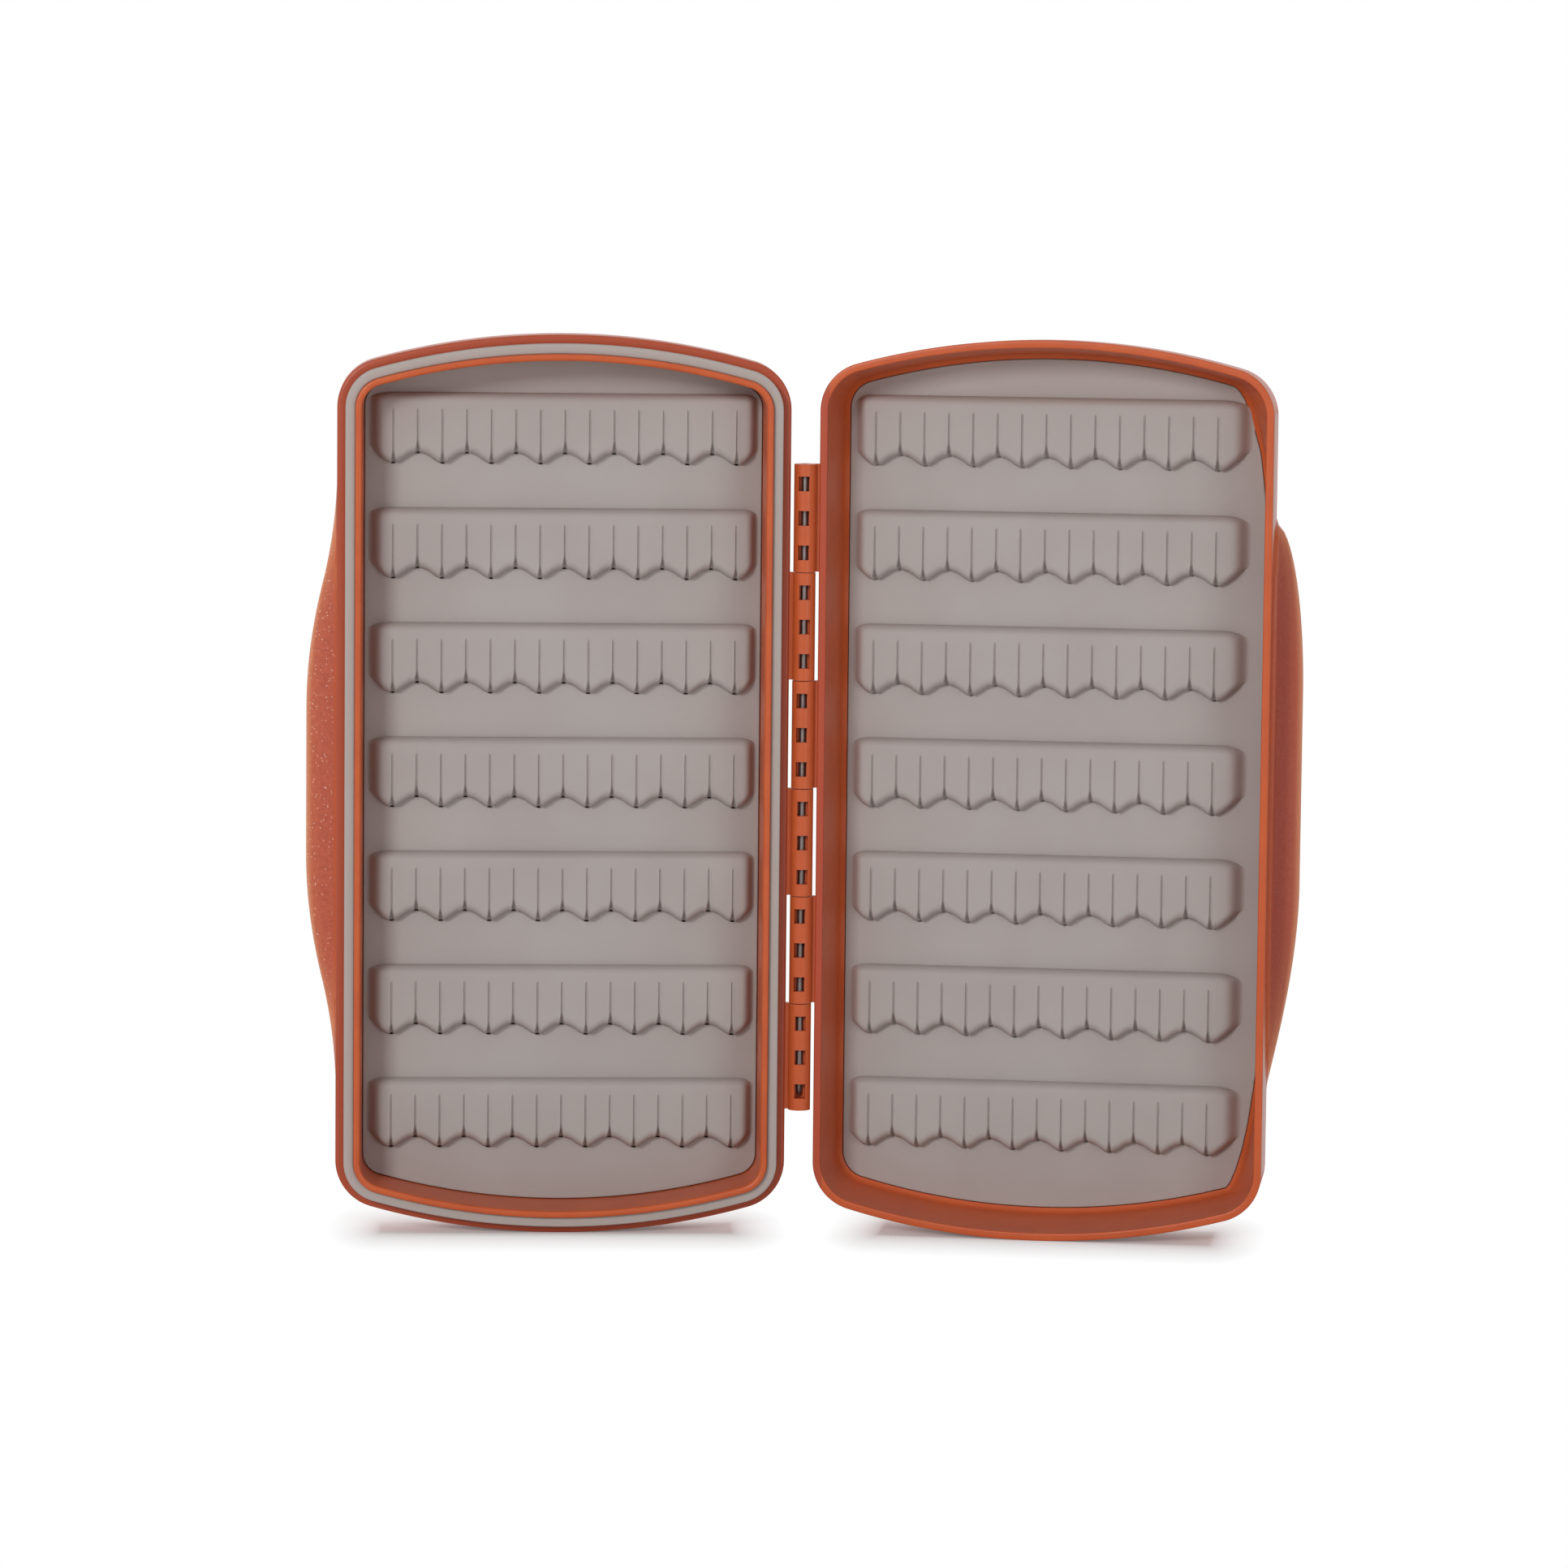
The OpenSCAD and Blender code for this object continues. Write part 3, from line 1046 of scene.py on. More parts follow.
def settle(
    thing: bpy.types.Object,
    half: Half,
    slot: str,
    material: bpy.types.Material,
    *nodes: str,
) -> bpy.types.Object:
    """Gives a piece its material and body, and hides the nodes it stands for.

    Args:
        thing: the piece.
        half: the half it rides on.
        slot: not used.
        material: its material.
        nodes: CAD nodes it replaces.

    Returns:
        The piece.
    """
    thing.data.materials.clear()
    thing.data.materials.append(material)
    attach(thing, half.value)
    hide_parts(*nodes)
    return thing


def join(thing: bpy.types.Object, other: bpy.types.Object) -> None:
    """Adds another object's mesh to a piece and removes the object.

    Args:
        thing: the piece.
        other: the object.
    """
    for spare in bpy.context.selected_objects:
        spare.select_set(False)
    thing.select_set(True)
    other.select_set(True)
    bpy.context.view_layer.objects.active = thing
    bpy.ops.object.join()


@dataclass(frozen=True)
class HingeSize:
    """Sizes of the hinge. The windows are cut into the front and the rear of a barrel."""

    length: float = 132.6
    count: int = 6
    dia: float = 4.55
    pin_dia: float = 1.4
    gap: float = 0.16
    web_d: float = 1.9
    web_start: float = 0.6
    web_in: float = 0.6
    window_w: float = 2.25
    window_h: float = 3.0
    window_past: float = 1.0
    window_pitch: float = 7.0
    base_play: float = 0.02
    lid_play: float = 0.05
    windows: tuple[tuple[str, int, int], ...] = (("Front", 3, -1), ("Rear", 2, 1))

    @property
    def pitch(self) -> float:
        """Spacing of the barrels."""
        return self.length / self.count


HINGE = HingeSize()


@dataclass
class Barrels:
    """The hinge barrels of one half."""

    half: Half
    material: bpy.types.Material
    sides: int = 64
    bore_sides: int = 32
    bore_l: float = 200.0
    smooth: float = 30.0

    def tree(self) -> GeoTree:
        """Group that makes a run of windowed barrels with their webs.

        Returns:
            The group.
        """
        kinds = dict.fromkeys(("Pitch", "Web Size", "Web Place", "Window Size"), "Vector")
        kinds |= dict.fromkeys(("Radius", "Length", "Hole"), "Float")
        kinds |= {"Window Pitch": "Vector", "Count": "Int", "Material": "Material"}
        for side, _, _ in HINGE.windows:
            kinds |= {f"{side} Start": "Vector", f"{side} Count": "Int"}
        g = GeoTree("hinge_barrels", kinds)
        inputs = {"Vertices": self.sides, "Radius": g.given["Radius"], "Depth": g.given["Length"]}
        tube = g.node("GeometryNodeMeshCylinder", inputs).outputs[0]
        web = g.node("GeometryNodeMeshCube", {"Size": g.given["Web Size"]}).outputs[0]
        inputs = {0: web, "Translation": g.given["Web Place"]}
        web = g.node("GeometryNodeTransform", inputs).outputs[0]
        whole = g.node(
            "GeometryNodeMeshBoolean", {"Mesh 2": [tube, web]}, operation="UNION", solver="EXACT"
        )
        depth = self.bore_l * MM
        inputs = {"Vertices": self.bore_sides, "Radius": g.given["Hole"], "Depth": depth}
        bore = g.node("GeometryNodeMeshCylinder", inputs).outputs[0]
        cube = g.node("GeometryNodeMeshCube", {"Size": g.given["Window Size"]}).outputs[0]
        holes = []
        for side, _, _ in HINGE.windows:
            count, start = g.given[f"{side} Count"], g.given[f"{side} Start"]
            holes.append(g.real(g.copies(cube, count, g.given["Window Pitch"], start)))
        cutters = g.node("GeometryNodeJoinGeometry", {0: holes}).outputs[0]
        inputs = {"Mesh 1": whole.outputs[0], "Mesh 2": [bore, cutters]}
        cut = g.node("GeometryNodeMeshBoolean", inputs, operation="DIFFERENCE", solver="EXACT")
        g.finish(g.copies(cut.outputs[0], g.given["Count"], g.given["Pitch"]))
        return g

    def build(self) -> bpy.types.Object:
        """Makes the barrels of this half in their place.

        Returns:
            All of them as one object.
        """
        h, half = HINGE, self.half
        long = h.pitch - h.gap
        web_a = SIZE.hinge_off + h.web_in
        hole = h.pin_dia / 2 + half.pick(h.base_play, h.lid_play)
        web_at = Vector((web_a / 2, (h.web_start + h.web_d) / 2, 0)) * MM
        web_at.x *= half.pick(-1, 1)
        across = Vector((0, h.dia / 4 + h.window_past / 2, 0)) * MM
        up = Vector((0, 0, h.window_pitch)) * MM
        values = {
            "Count": h.count // 2,
            "Pitch": (0, 0, -2 * h.pitch * MM),
            "Radius": h.dia / 2 * MM,
            "Length": long * MM,
            "Hole": hole * MM,
            "Web Size": (web_a * MM, (h.web_d - h.web_start) * MM, long * MM),
            "Web Place": tuple(web_at),
            "Window Size": (h.window_w * MM, (h.dia / 2 + h.window_past) * MM, h.window_h * MM),
            "Window Pitch": tuple(up),
            "Material": self.material,
        }
        for side, count, way in h.windows:
            values[f"{side} Count"] = count
            values[f"{side} Start"] = tuple(up * (-(count - 1) / 2) + across * way)
        thing = self.tree().run(f"{half.value}_barrels", values)
        centre = h.length / 2 - half.pick(1.5, 0.5) * h.pitch
        zero = to_frame(np.array([[0.0, 0.0, centre]]), half)[0]
        turn = half.pick(0.0, -math.radians(SIZE.turn))
        thing.data.transform(Matrix.Translation(Vector(zero)) @ Matrix.Rotation(turn, 4, "Z"))
        thing.data.shade_smooth()
        thing.data.set_sharp_from_angle(angle=math.radians(self.smooth))
        return thing


@dataclass
class Shell:
    """A tray with its grip and hinge barrels.

    The slope_ sizes, nose_turn and nose_steps shape the grip's near side and its rounded nose;
    the other nose_ sizes say where the nose gets its painted highlight. The lean_, fillet and
    bulge sizes shape the lid's inner wall on its way down to the mat. The edge and lip sizes
    are the roundings at the rim, outside and inside.
    """

    half: Half
    outline: Outline
    material: bpy.types.Material
    base_edge: float = 0.6
    lid_edge: float = 0.35
    under_grip: float = 2.0
    draft: float = 0.55
    draft_share: float = 0.6
    slope_steps: int = 6
    slope_turn: float = -70.0
    slope_sag: float = 0.22
    nose_turn: float = -62.0
    nose_steps: int = 22
    base_lip: float = 0.2
    lid_wall: float = 1.58
    lid_lip: float = 0.3
    lean_start: float = 2.4
    lean_levels: int = 26
    lean_crowding: float = 0.7
    lean_at_rim: float = 0.08
    lean_to_mat: float = 0.9
    lean_power: float = 1.25
    cut_power: float = 1.2
    fillet: float = 1.3
    fillet_share: float = 0.93
    bulge: float = 2.1
    bulge_wall: float = 0.9
    nose_above: float = 0.1
    nose_out: float = 0.3
    nose_from: float = 0.3
    nose_power: float = 1.3

    def outside(self) -> list[Ring]:
        """Section from the edge of the wall round to the back face.

        Returns:
            Its rings in order.
        """
        deep, reach = SIZE.deep(self.half), SIZE.grip(self.half).reach
        edge = self.half.pick(self.base_edge, self.lid_edge)
        draft = self.half.pick(0.0, self.draft)
        rings = round_edge(edge, self.half.pick(SIZE.edge_drop, 0.0) + edge, edge, 270, 180)
        start = deep - SIZE.grip_d
        rings.append(Ring(0, start - self.under_grip, taper=draft * self.draft_share))
        nose_a, nose_d = reach - SIZE.nose_r, deep - SIZE.nose_r
        first = math.radians(self.slope_turn)
        line_a = nose_a + SIZE.nose_r * math.cos(first)
        line_d = nose_d + SIZE.nose_r * math.sin(first)
        steps: list[tuple[float, float]] = []
        for i in range(self.slope_steps + 1):
            t = i / self.slope_steps
            sag = -self.slope_sag * math.sin(math.pi * t)
            steps.append((line_a * t, start + (line_d - start) * t + sag * t))
        for t in np.linspace(self.nose_turn, 90, self.nose_steps):
            out = nose_a + SIZE.nose_r * math.cos(math.radians(t))
            steps.append((out, nose_d + SIZE.nose_r * math.sin(math.radians(t))))
        for out, depth in steps:
            rise = max(0.0, depth - deep + SIZE.back_r)
            inset = SIZE.back_r - math.sqrt(max(0.0, SIZE.back_r**2 - rise**2))
            rings.append(Ring(inset, depth, out + inset, taper=draft * depth / deep))
        return rings

    def base_inside(self) -> list[Ring]:
        """Section of the base from its inner floor up to the edge of the wall.

        Returns:
            Its rings in order.
        """
        floor, wall = SIZE.base_d - SIZE.floor_t, SIZE.base_wall
        r, lip = SIZE.base_fillet, self.base_lip
        rings = round_edge(wall + r, floor - r, r, 90, 180, 6)
        return rings + round_edge(wall - lip, SIZE.edge_drop + lip, lip, 0, -90, 3)

    def lid_inside(self) -> list[Ring]:
        """Section of the lid from its inner floor up to the edge of the wall.

        Returns:
            Its rings in order.
        """
        face, start = SIZE.mat_face(Half.LID), self.lean_start
        shelf = SIZE.lid_d - SIZE.grip_d
        lean_a = SIZE.lid_floor_in - self.lean_to_mat - self.lid_wall
        rings = [Ring(SIZE.lid_floor_in, SIZE.lid_d - SIZE.floor_t, 0, 1, 1)]
        for t in np.linspace(1, 0, self.lean_levels) ** self.lean_crowding:
            depth = start + (face - start) * t
            lean = self.lid_wall + self.lean_at_rim + lean_a * t**self.lean_power
            low = max(0.0, depth - face + self.fillet) * self.fillet_share
            inset = lean + self.fillet - math.sqrt(self.fillet**2 - low**2)
            inset = min(inset, SIZE.lid_floor_in)
            bulge = max(0.0, (depth - shelf) / (face - shelf)) * self.bulge
            most = max(0.0, inset - self.bulge_wall + bulge)
            rings.append(
                Ring(inset, depth, 0, t**self.lean_power, t**self.cut_power, most=most)
            )
        lip = self.lid_lip
        return rings + round_edge(self.lid_wall - lip, lip, lip, 0, -90, 4)

    def mark_nose_highlight(self, thing: bpy.types.Object) -> None:
        """Keeps how far each point of the grip's nose faces outward, where the material paints a
        highlight.

        Args:
            thing: the tray, before its barrels join it.
        """
        out, deeper = SIZE.ways(self.half)
        mesh = thing.data
        n = len(mesh.vertices)
        places, normals = np.empty(n * 3), np.empty(n * 3)
        mesh.vertices.foreach_get("co", places)
        mesh.vertex_normals.foreach_get("vector", normals)
        places = (places.reshape(-1, 3) + SIZE.origin * MM) / MM
        facing = normals.reshape(-1, 3) @ out
        shelf = SIZE.deep(self.half) - SIZE.grip_d - self.nose_above
        on_grip = (places @ deeper > shelf) & (places @ out > SIZE.far_a + self.nose_out)
        share = np.clip((facing - self.nose_from) / (1 - self.nose_from), 0, 1)
        value = share**self.nose_power * on_grip
        mesh.attributes.new(NOSE, "FLOAT", "POINT").data.foreach_set("value", value)

    def build(self) -> list[bpy.types.Object]:
        """Makes the tray and its barrels as one piece.

        Returns:
            The piece.
        """
        name = self.half.value
        rings = self.half.pick(self.base_inside, self.lid_inside)() + self.outside()
        solid = Solid()
        solid.rings(self.outline, rings, SIZE.grip(self.half))
        thing = solid.build(f"{name}_shell_fine", self.half)
        self.mark_nose_highlight(thing)
        join(thing, Barrels(self.half, self.material).build())
        return [settle(thing, self.half, "shell", self.material, f"{name}_shell")]


@dataclass
class Seal:
    """The inner frame and the sealing band around it."""

    outline: Outline
    shell: bpy.types.Material
    soft: bpy.types.Material
    frame_out: float = 3.76
    frame_h: float = 4.2
    frame_gap: float = 0.05
    frame_lean: float = 0.2
    inner_r: float = 0.65
    outer_r: float = 0.4
    ledge_d: float = 0.8
    lip: float = 1.74
    height: float = 2.9
    band_r: float = 0.3
    band_gap: float = 0.06
    band_rise: float = 0.02

    def frame(self) -> list[Ring]:
        """Section of the inner frame.

        Returns:
            Its rings in order.
        """
        floor, r = SIZE.base_d - SIZE.floor_t, SIZE.base_fillet
        out, top = SIZE.base_wall + self.frame_gap, -self.frame_h
        inner, outer = self.inner_r, self.outer_r
        inset = SIZE.frame_in - self.frame_lean - inner
        rings = [Ring(SIZE.frame_in, floor)]
        rings += round_edge(inset, top + inner, inner, 0, -90)
        rings += round_edge(self.frame_out + outer, top + outer, outer, -90, -180)
        rings += [Ring(self.frame_out, self.ledge_d), Ring(out, self.ledge_d)]
        return rings + round_edge(out + r, floor - r, r, 180, 90, 6)

    def band(self) -> list[Ring]:
        """Section of the sealing band.

        Returns:
            Its rings in order.
        """
        r, top = self.band_r, -self.height
        foot, out = SIZE.edge_drop - self.band_rise, SIZE.base_wall + self.band_gap
        rings = [Ring(self.frame_out, self.ledge_d)]
        rings += round_edge(self.frame_out - r, top + r, r, 0, -90)
        rings += round_edge(self.lip + r, top + r, r, -90, -180)
        return rings + [Ring(self.lip, foot), Ring(out, foot), Ring(out, self.ledge_d)]

    def build(self) -> list[bpy.types.Object]:
        """Makes both pieces.

        Returns:
            The frame and the band.
        """
        pieces = []
        for name, slot, rings, material in (
            ("seal_frame", "frame", self.frame(), self.shell),
            ("gasket", "gasket", self.band(), self.soft),
        ):
            solid = Solid()
            solid.rings(self.outline, rings, closed=True)
            thing = solid.build(f"{name}_fine", Half.BASE)
            pieces.append(settle(thing, Half.BASE, slot, material, name))
        return pieces


@dataclass(frozen=True)
class RowEnd:
    """One end of a row past its outermost slit: how far it runs on and how it drops."""

    flat: float
    run: float
    drop: float
    slope: float
    lead: float
    power: float

    @property
    def reach(self) -> float:
        """Length past the outermost slit."""
        return self.flat + self.run


@dataclass(frozen=True)
class SlitSize:
    """Sizes of a slit, its lips and its mouth at the row's lower edge."""

    start: float = 3.25
    lead: float = 0.1
    fade: float = 0.45
    half_w: float = 0.21
    depth: float = 0.34
    flank: float = 1.5
    mouth: float = 2.7
    mouth_w: float = 0.42
    mouth_w_power: float = 1.1
    mouth_d: float = 1.8
    mouth_d_power: float = 0.9
    lip: float = 0.05
    lip_off: float = 0.12
    lip_w: float = 0.14

    def carve(self, off: np.ndarray, down: np.ndarray, up: np.ndarray) -> np.ndarray:
        """What the nearest slit takes from the row's height, less its raised lips.

        Args:
            off: distance from the nearest slit.
            down: distance below the row's top line.
            up: distance above its lower edge.

        Returns:
            The depth at each point.
        """
        mouth = np.clip((self.mouth - up) / self.mouth, 0, 1)
        width = self.half_w + self.mouth_w * mouth**self.mouth_w_power
        depth = self.depth + self.mouth_d * mouth**self.mouth_d_power
        start = np.clip((down - self.start + self.lead) / self.fade, 0, 1)
        cut = depth * start * np.clip(1 - (off / width) ** self.flank, 0, 1)
        rise = np.exp(-(((off - width - self.lip_off) / self.lip_w) ** 2))
        return cut - self.lip * start * rise


@dataclass(frozen=True)
class RowSize:
    """Sizes of the slit rows of one half, and the places where a row is sampled.

    The crown and foot sizes round a row's upper and lower edge, the end_ sizes its two
    ends, and the bend_ sizes the lower edge past the outermost slits. slit_places and
    between are distances from a slit, from_top and from_end those from the two edges.
    """

    shift: float
    near: RowEnd
    far: RowEnd
    slit: SlitSize = SlitSize()
    count: int = 7
    pitch: float = 23.5
    height: float = 3.0
    length: float = 14.6
    lobe: float = 2.1
    lobe_power: float = 1.35
    up: float = 1.95
    slits: int = 15
    slit_pitch: float = 5.0
    skirt: float = 0.3
    crown: float = 1.9
    foot: float = 2.2
    round_power: float = 2.3
    foot_power: float = 0.58
    foot_step: float = 0.35
    foot_edge: float = 0.45
    end_share: float = 0.7
    end_power: float = 2.1
    bend_at: float = 1.3
    bend: float = 0.45
    bend_zero: float = 0.054
    end_gap: float = 0.9
    near_columns: int = 16
    far_columns: int = 20
    middle: int = 3
    slit_places: tuple[float, ...] = (0, 0.05, 0.1, 0.15, 0.2, 0.27, 0.35, 0.45, 0.57, 0.72)
    between: tuple[float, ...] = (1.1, 1.6, 2.1, 2.5, 2.9, 3.4, 3.9)
    from_top: tuple[float, ...] = (
        0, 0.03, 0.1, 0.22, 0.4, 0.65, 1.0, 1.4, 1.9, 2.5, 3.13, 3.25, 3.4, 3.65,
    )
    from_end: tuple[float, ...] = (
        3.0, 2.5, 2.1, 1.7, 1.35, 1.05, 0.75, 0.5, 0.33, 0.2, 0.1, 0.03, 0,
    )

    @property
    def run(self) -> float:
        """Distance from the first slit to the last."""
        return (self.slits - 1) * self.slit_pitch

    @property
    def top(self) -> float:
        """Height of the top line of the first row above mid length."""
        return self.up + ((self.count - 1) * self.pitch + self.length) / 2

    def ends(self, t: np.ndarray) -> tuple[tuple[RowEnd, np.ndarray], ...]:
        """Both ends of a row, each with how far past its outermost slit a place lies."""
        return (self.near, -t), (self.far, t - self.run)


ROWS = {
    Half.BASE: RowSize(
        0.3,
        RowEnd(flat=1.7, run=3.1, drop=2.2, slope=1.0, lead=0.6, power=2.0),
        RowEnd(flat=1.3, run=4.2, drop=2.0, slope=1.0, lead=1.2, power=1.8),
    ),
    Half.LID: RowSize(
        1.05,
        RowEnd(flat=1.5, run=3.1, drop=2.2, slope=1.0, lead=0.6, power=2.0),
        RowEnd(flat=2.6, run=4.6, drop=3.0, slope=0.8, lead=1.2, power=1.8),
    ),
}


@dataclass
class SlitMat:
    """A mat with its slit rows."""

    half: Half
    outline: Outline
    material: bpy.types.Material
    plate_gap: float = 0.1
    plate_r: float = 0.3
    smooth: float = 60.0

    def __post_init__(self) -> None:
        """Takes the sizes of this half's rows."""
        self.rows = ROWS[self.half]

    def columns(self) -> np.ndarray:
        """Places across a row where it is sampled, from its first slit.

        Returns:
            The places in order.
        """
        rows = self.rows
        at = np.array(rows.slit_places)
        offsets = np.concatenate([-at[:0:-1], at])
        parts = [
            np.linspace(-rows.near.reach, -rows.end_gap, rows.near_columns),
            rows.run + np.linspace(rows.end_gap, rows.far.reach, rows.far_columns),
        ]
        for i in range(rows.slits):
            parts.append(i * rows.slit_pitch + offsets)
            if i < rows.slits - 1:
                parts.append(i * rows.slit_pitch + np.array(rows.between))
        return np.unique(np.round(np.concatenate(parts), 4))

    def lower(self, t: np.ndarray) -> np.ndarray:
        """Lower edge of a row, below its top line.

        Args:
            t: places across the row.

        Returns:
            Its distance at each place.
        """
        rows = self.rows
        inside = np.clip(t, 0, rows.run)
        low = (1 + np.cos(math.pi * inside / rows.slit_pitch)) / 2
        wave = rows.length - rows.lobe * (1 - low**rows.lobe_power)
        for end, past in rows.ends(t):
            x = (np.clip(past, 0, None) - rows.bend_at) / rows.bend
            rise = end.slope * rows.bend * (np.logaddexp(0, x) - rows.bend_zero)
            wave = wave - np.where(past > 0, rise, 0)
        return wave

    def upper(self, t: np.ndarray) -> np.ndarray:
        """Drop of the top line near the ends of a row.

        Args:
            t: places across the row.

        Returns:
            The drop at each place.
        """
        drop = np.zeros_like(t)
        for end, past in self.rows.ends(t):
            part = np.clip(1 - (end.reach - past) / (end.run + end.lead), 0, 1)
            drop += end.drop * (1 - np.sqrt(np.clip(1 - part**end.power, 0, 1)))
        return drop

    def height(self, t: np.ndarray, down: np.ndarray, up: np.ndarray) -> np.ndarray:
        """Height of a row above the mat.

        Args:
            t: place across the row.
            down: distance below its top line.
            up: distance above its lower edge.

        Returns:
            The height at each point.
        """
        rows = self.rows
        crown = np.clip(1 - np.clip(1 - down / rows.crown, 0, 1) ** rows.round_power, 0, 1)
        foot = np.clip(1 - np.clip(1 - up / rows.foot, 0, 1) ** rows.round_power, 0, 1)
        step = rows.foot_step + (1 - rows.foot_step) * np.clip(up / rows.foot_edge, 0, 1)
        height = rows.height * np.sqrt(crown) * foot**rows.foot_power * step
        for end, past in rows.ends(t):
            part = np.clip((end.reach - past) / end.run, 1e-6, 1)
            height = height / (1 + ((1 - part) / part * rows.end_share) ** rows.end_power)
        slit = np.clip(np.round(t / rows.slit_pitch), 0, rows.slits - 1) * rows.slit_pitch
        return np.maximum(height - rows.slit.carve(np.abs(t - slit), down, up), 0.0)

    def row(self) -> bpy.types.Object:
        """Makes the first row as a closed body.

        Returns:
            The row.
        """
        rows, face = self.rows, SIZE.mat_face(self.half)
        t = self.columns()
        top, end = np.array(rows.from_top), np.array(rows.from_end)
        drop = self.upper(t)
        length = self.lower(t) - drop
        columns = []
        for long in length:
            stretch = np.linspace(top[-1], long - end[0], rows.middle + 2)[1:-1]
            columns.append(np.concatenate([top, stretch, long - end]))
        down = np.array(columns)
        n, m = down.shape
        across = np.repeat(t[:, None], m, axis=1)
        height = self.height(across, down, length[:, None] - down)
        first = SIZE.mid_a - rows.shift - rows.run / 2
        grid = np.stack([first + across, face - height, rows.top - drop[:, None] - down], axis=2)
        grid = grid.reshape(-1, 3)
        solid = Solid()
        solid.add(grid)
        for i in range(0, (n - 1) * m, m):
            for j in range(i, i + m - 1):
                solid.faces.append((j, j + m, j + m + 1, j + 1))
        border = [i * m for i in range(n)]
        border += [(n - 1) * m + j for j in range(1, m)]
        border += [i * m + m - 1 for i in range(n - 2, -1, -1)]
        border += range(m - 2, 0, -1)
        skirt = grid[border]
        skirt[:, 1] = face + rows.skirt
        start = solid.add(skirt)
        under = range(start, start + len(border))
        solid.band(border, under)
        solid.faces.append(under)
        return solid.build(f"{self.half.value}_row", self.half, self.smooth)

    def plate(self) -> bpy.types.Object:
        """Makes the flat sheet under the rows.

        Returns:
            The sheet.
        """
        face, r = SIZE.mat_face(self.half), self.plate_r
        spread = self.half.pick(0.0, 1.0)
        inset = self.half.pick(SIZE.frame_in, SIZE.lid_floor_in) + self.plate_gap
        edge = round_edge(inset + r, face + r, r, -90, -180, 3)
        edge.append(Ring(inset, face + SIZE.mat_t))
        solid = Solid()
        rings = [Ring(one.inset, one.depth, 0, spread, spread) for one in edge]
        solid.rings(self.outline, rings)
        return solid.build(f"{self.half.value}_plate", self.half)

    @staticmethod
    def tree() -> GeoTree:
        """Group that repeats one slit row down a mat and joins it to the plate.

        Returns:
            The group.
        """
        kinds = {"Row": "Object", "Plate": "Object", "Count": "Int", "Pitch": "Vector"}
        g = GeoTree("slit_rows", kinds | {"Material": "Material"})
        row, plate = (
            g.node("GeometryNodeObjectInfo", {"Object": g.given[name]}).outputs["Geometry"]
            for name in ("Row", "Plate")
        )
        rows = g.copies(row, g.given["Count"], g.given["Pitch"])
        g.finish(g.node("GeometryNodeJoinGeometry", {0: [plate, rows]}).outputs[0])
        return g

    def build(self) -> list[bpy.types.Object]:
        """Repeats the row over the plate and settles the mat.

        Returns:
            The mat.
        """
        name = self.half.value
        values = {
            "Row": self.row(),
            "Plate": self.plate(),
            "Count": self.rows.count,
            "Pitch": (0, 0, -self.rows.pitch * MM),
            "Material": self.material,
        }
        thing = self.tree().run(f"{name}_mat_fine", values)
        for spare in (values["Row"], values["Plate"]):
            bpy.data.objects.remove(spare)
        return [settle(thing, self.half, "mat", self.material, f"{name}_mat")]


@dataclass
class Pin:
    """The hinge pin, with its crimped lower end.

    The tip's table holds heights above its end, and shares of the pin's radius.
    """

    material: bpy.types.Material
    cap: float = 1.2
    short: float = 2.9
    chamfer: float = 0.15
    chamfer_share: float = 0.8
    stretches: int = 24
    tip_l: float = 4.2
    tip: tuple[tuple[float, float], ...] = (
        (3.6, 1), (3.0, 1), (2.2, 1), (1.2, 0.95), (0.6, 0.6), (0.0, 0.12),
    )
    sides: int = 36
    flats: int = 3
    flats_turn: float = 0.5
    pinch: float = 0.3
    pinch_low: float = 0.9
    pinch_high: float = 3.3
    smooth: float = 40.0

    def build(self) -> list[bpy.types.Object]:
        """Makes the pin as a turned body with flats near its tip.

        Returns:
            The pin.
        """
        top, end = HINGE.length / 2 - self.cap, -HINGE.length / 2 + self.short
        r, long = HINGE.pin_dia / 2, top - end - self.tip_l
        levels = [(top, r * self.chamfer_share), (top - self.chamfer, r)]
        levels += [(top - long * i / self.stretches, r) for i in range(1, self.stretches + 1)]
        levels += [(end + up, r * share) for up, share in self.tip]
        t = np.linspace(0, 2 * math.pi, self.sides, endpoint=False)
        flats = np.clip(np.cos(self.flats * t + self.flats_turn), 0, 1)
        loops = []
        for z, radius in levels:
            pinched = end + self.pinch_low < z < end + self.pinch_high
            size = radius * (1 - (self.pinch if pinched else 0.0) * flats)
            loop = [size * np.cos(t), size * np.sin(t), np.full_like(t, z)]
            loops.append(np.stack(loop, axis=1))
        solid = Solid()
        solid.skin(loops, closed=False)
        thing = solid.build("hinge_pin_fine", Half.BASE, self.smooth)
        return [settle(thing, Half.BASE, "pin", self.material, "hinge_pin")]


@dataclass
class Films:
    """The two films under the mats, which stay CAD nodes."""

    nodes: Mapping[str, bpy.types.Object]
    material: bpy.types.Material

    def build(self) -> list[bpy.types.Object]:
        """Gives both nodes their finish.

        Returns:
            Both nodes.
        """
        pieces = []
        for name in ("base_mat_adhesive", "lid_mat_adhesive"):
            node = self.nodes[name]
            node.data.materials.clear()
            node.data.materials.append(self.material)
            pieces.append(node)
        return pieces


# ---------------------------------------------------------------- setting


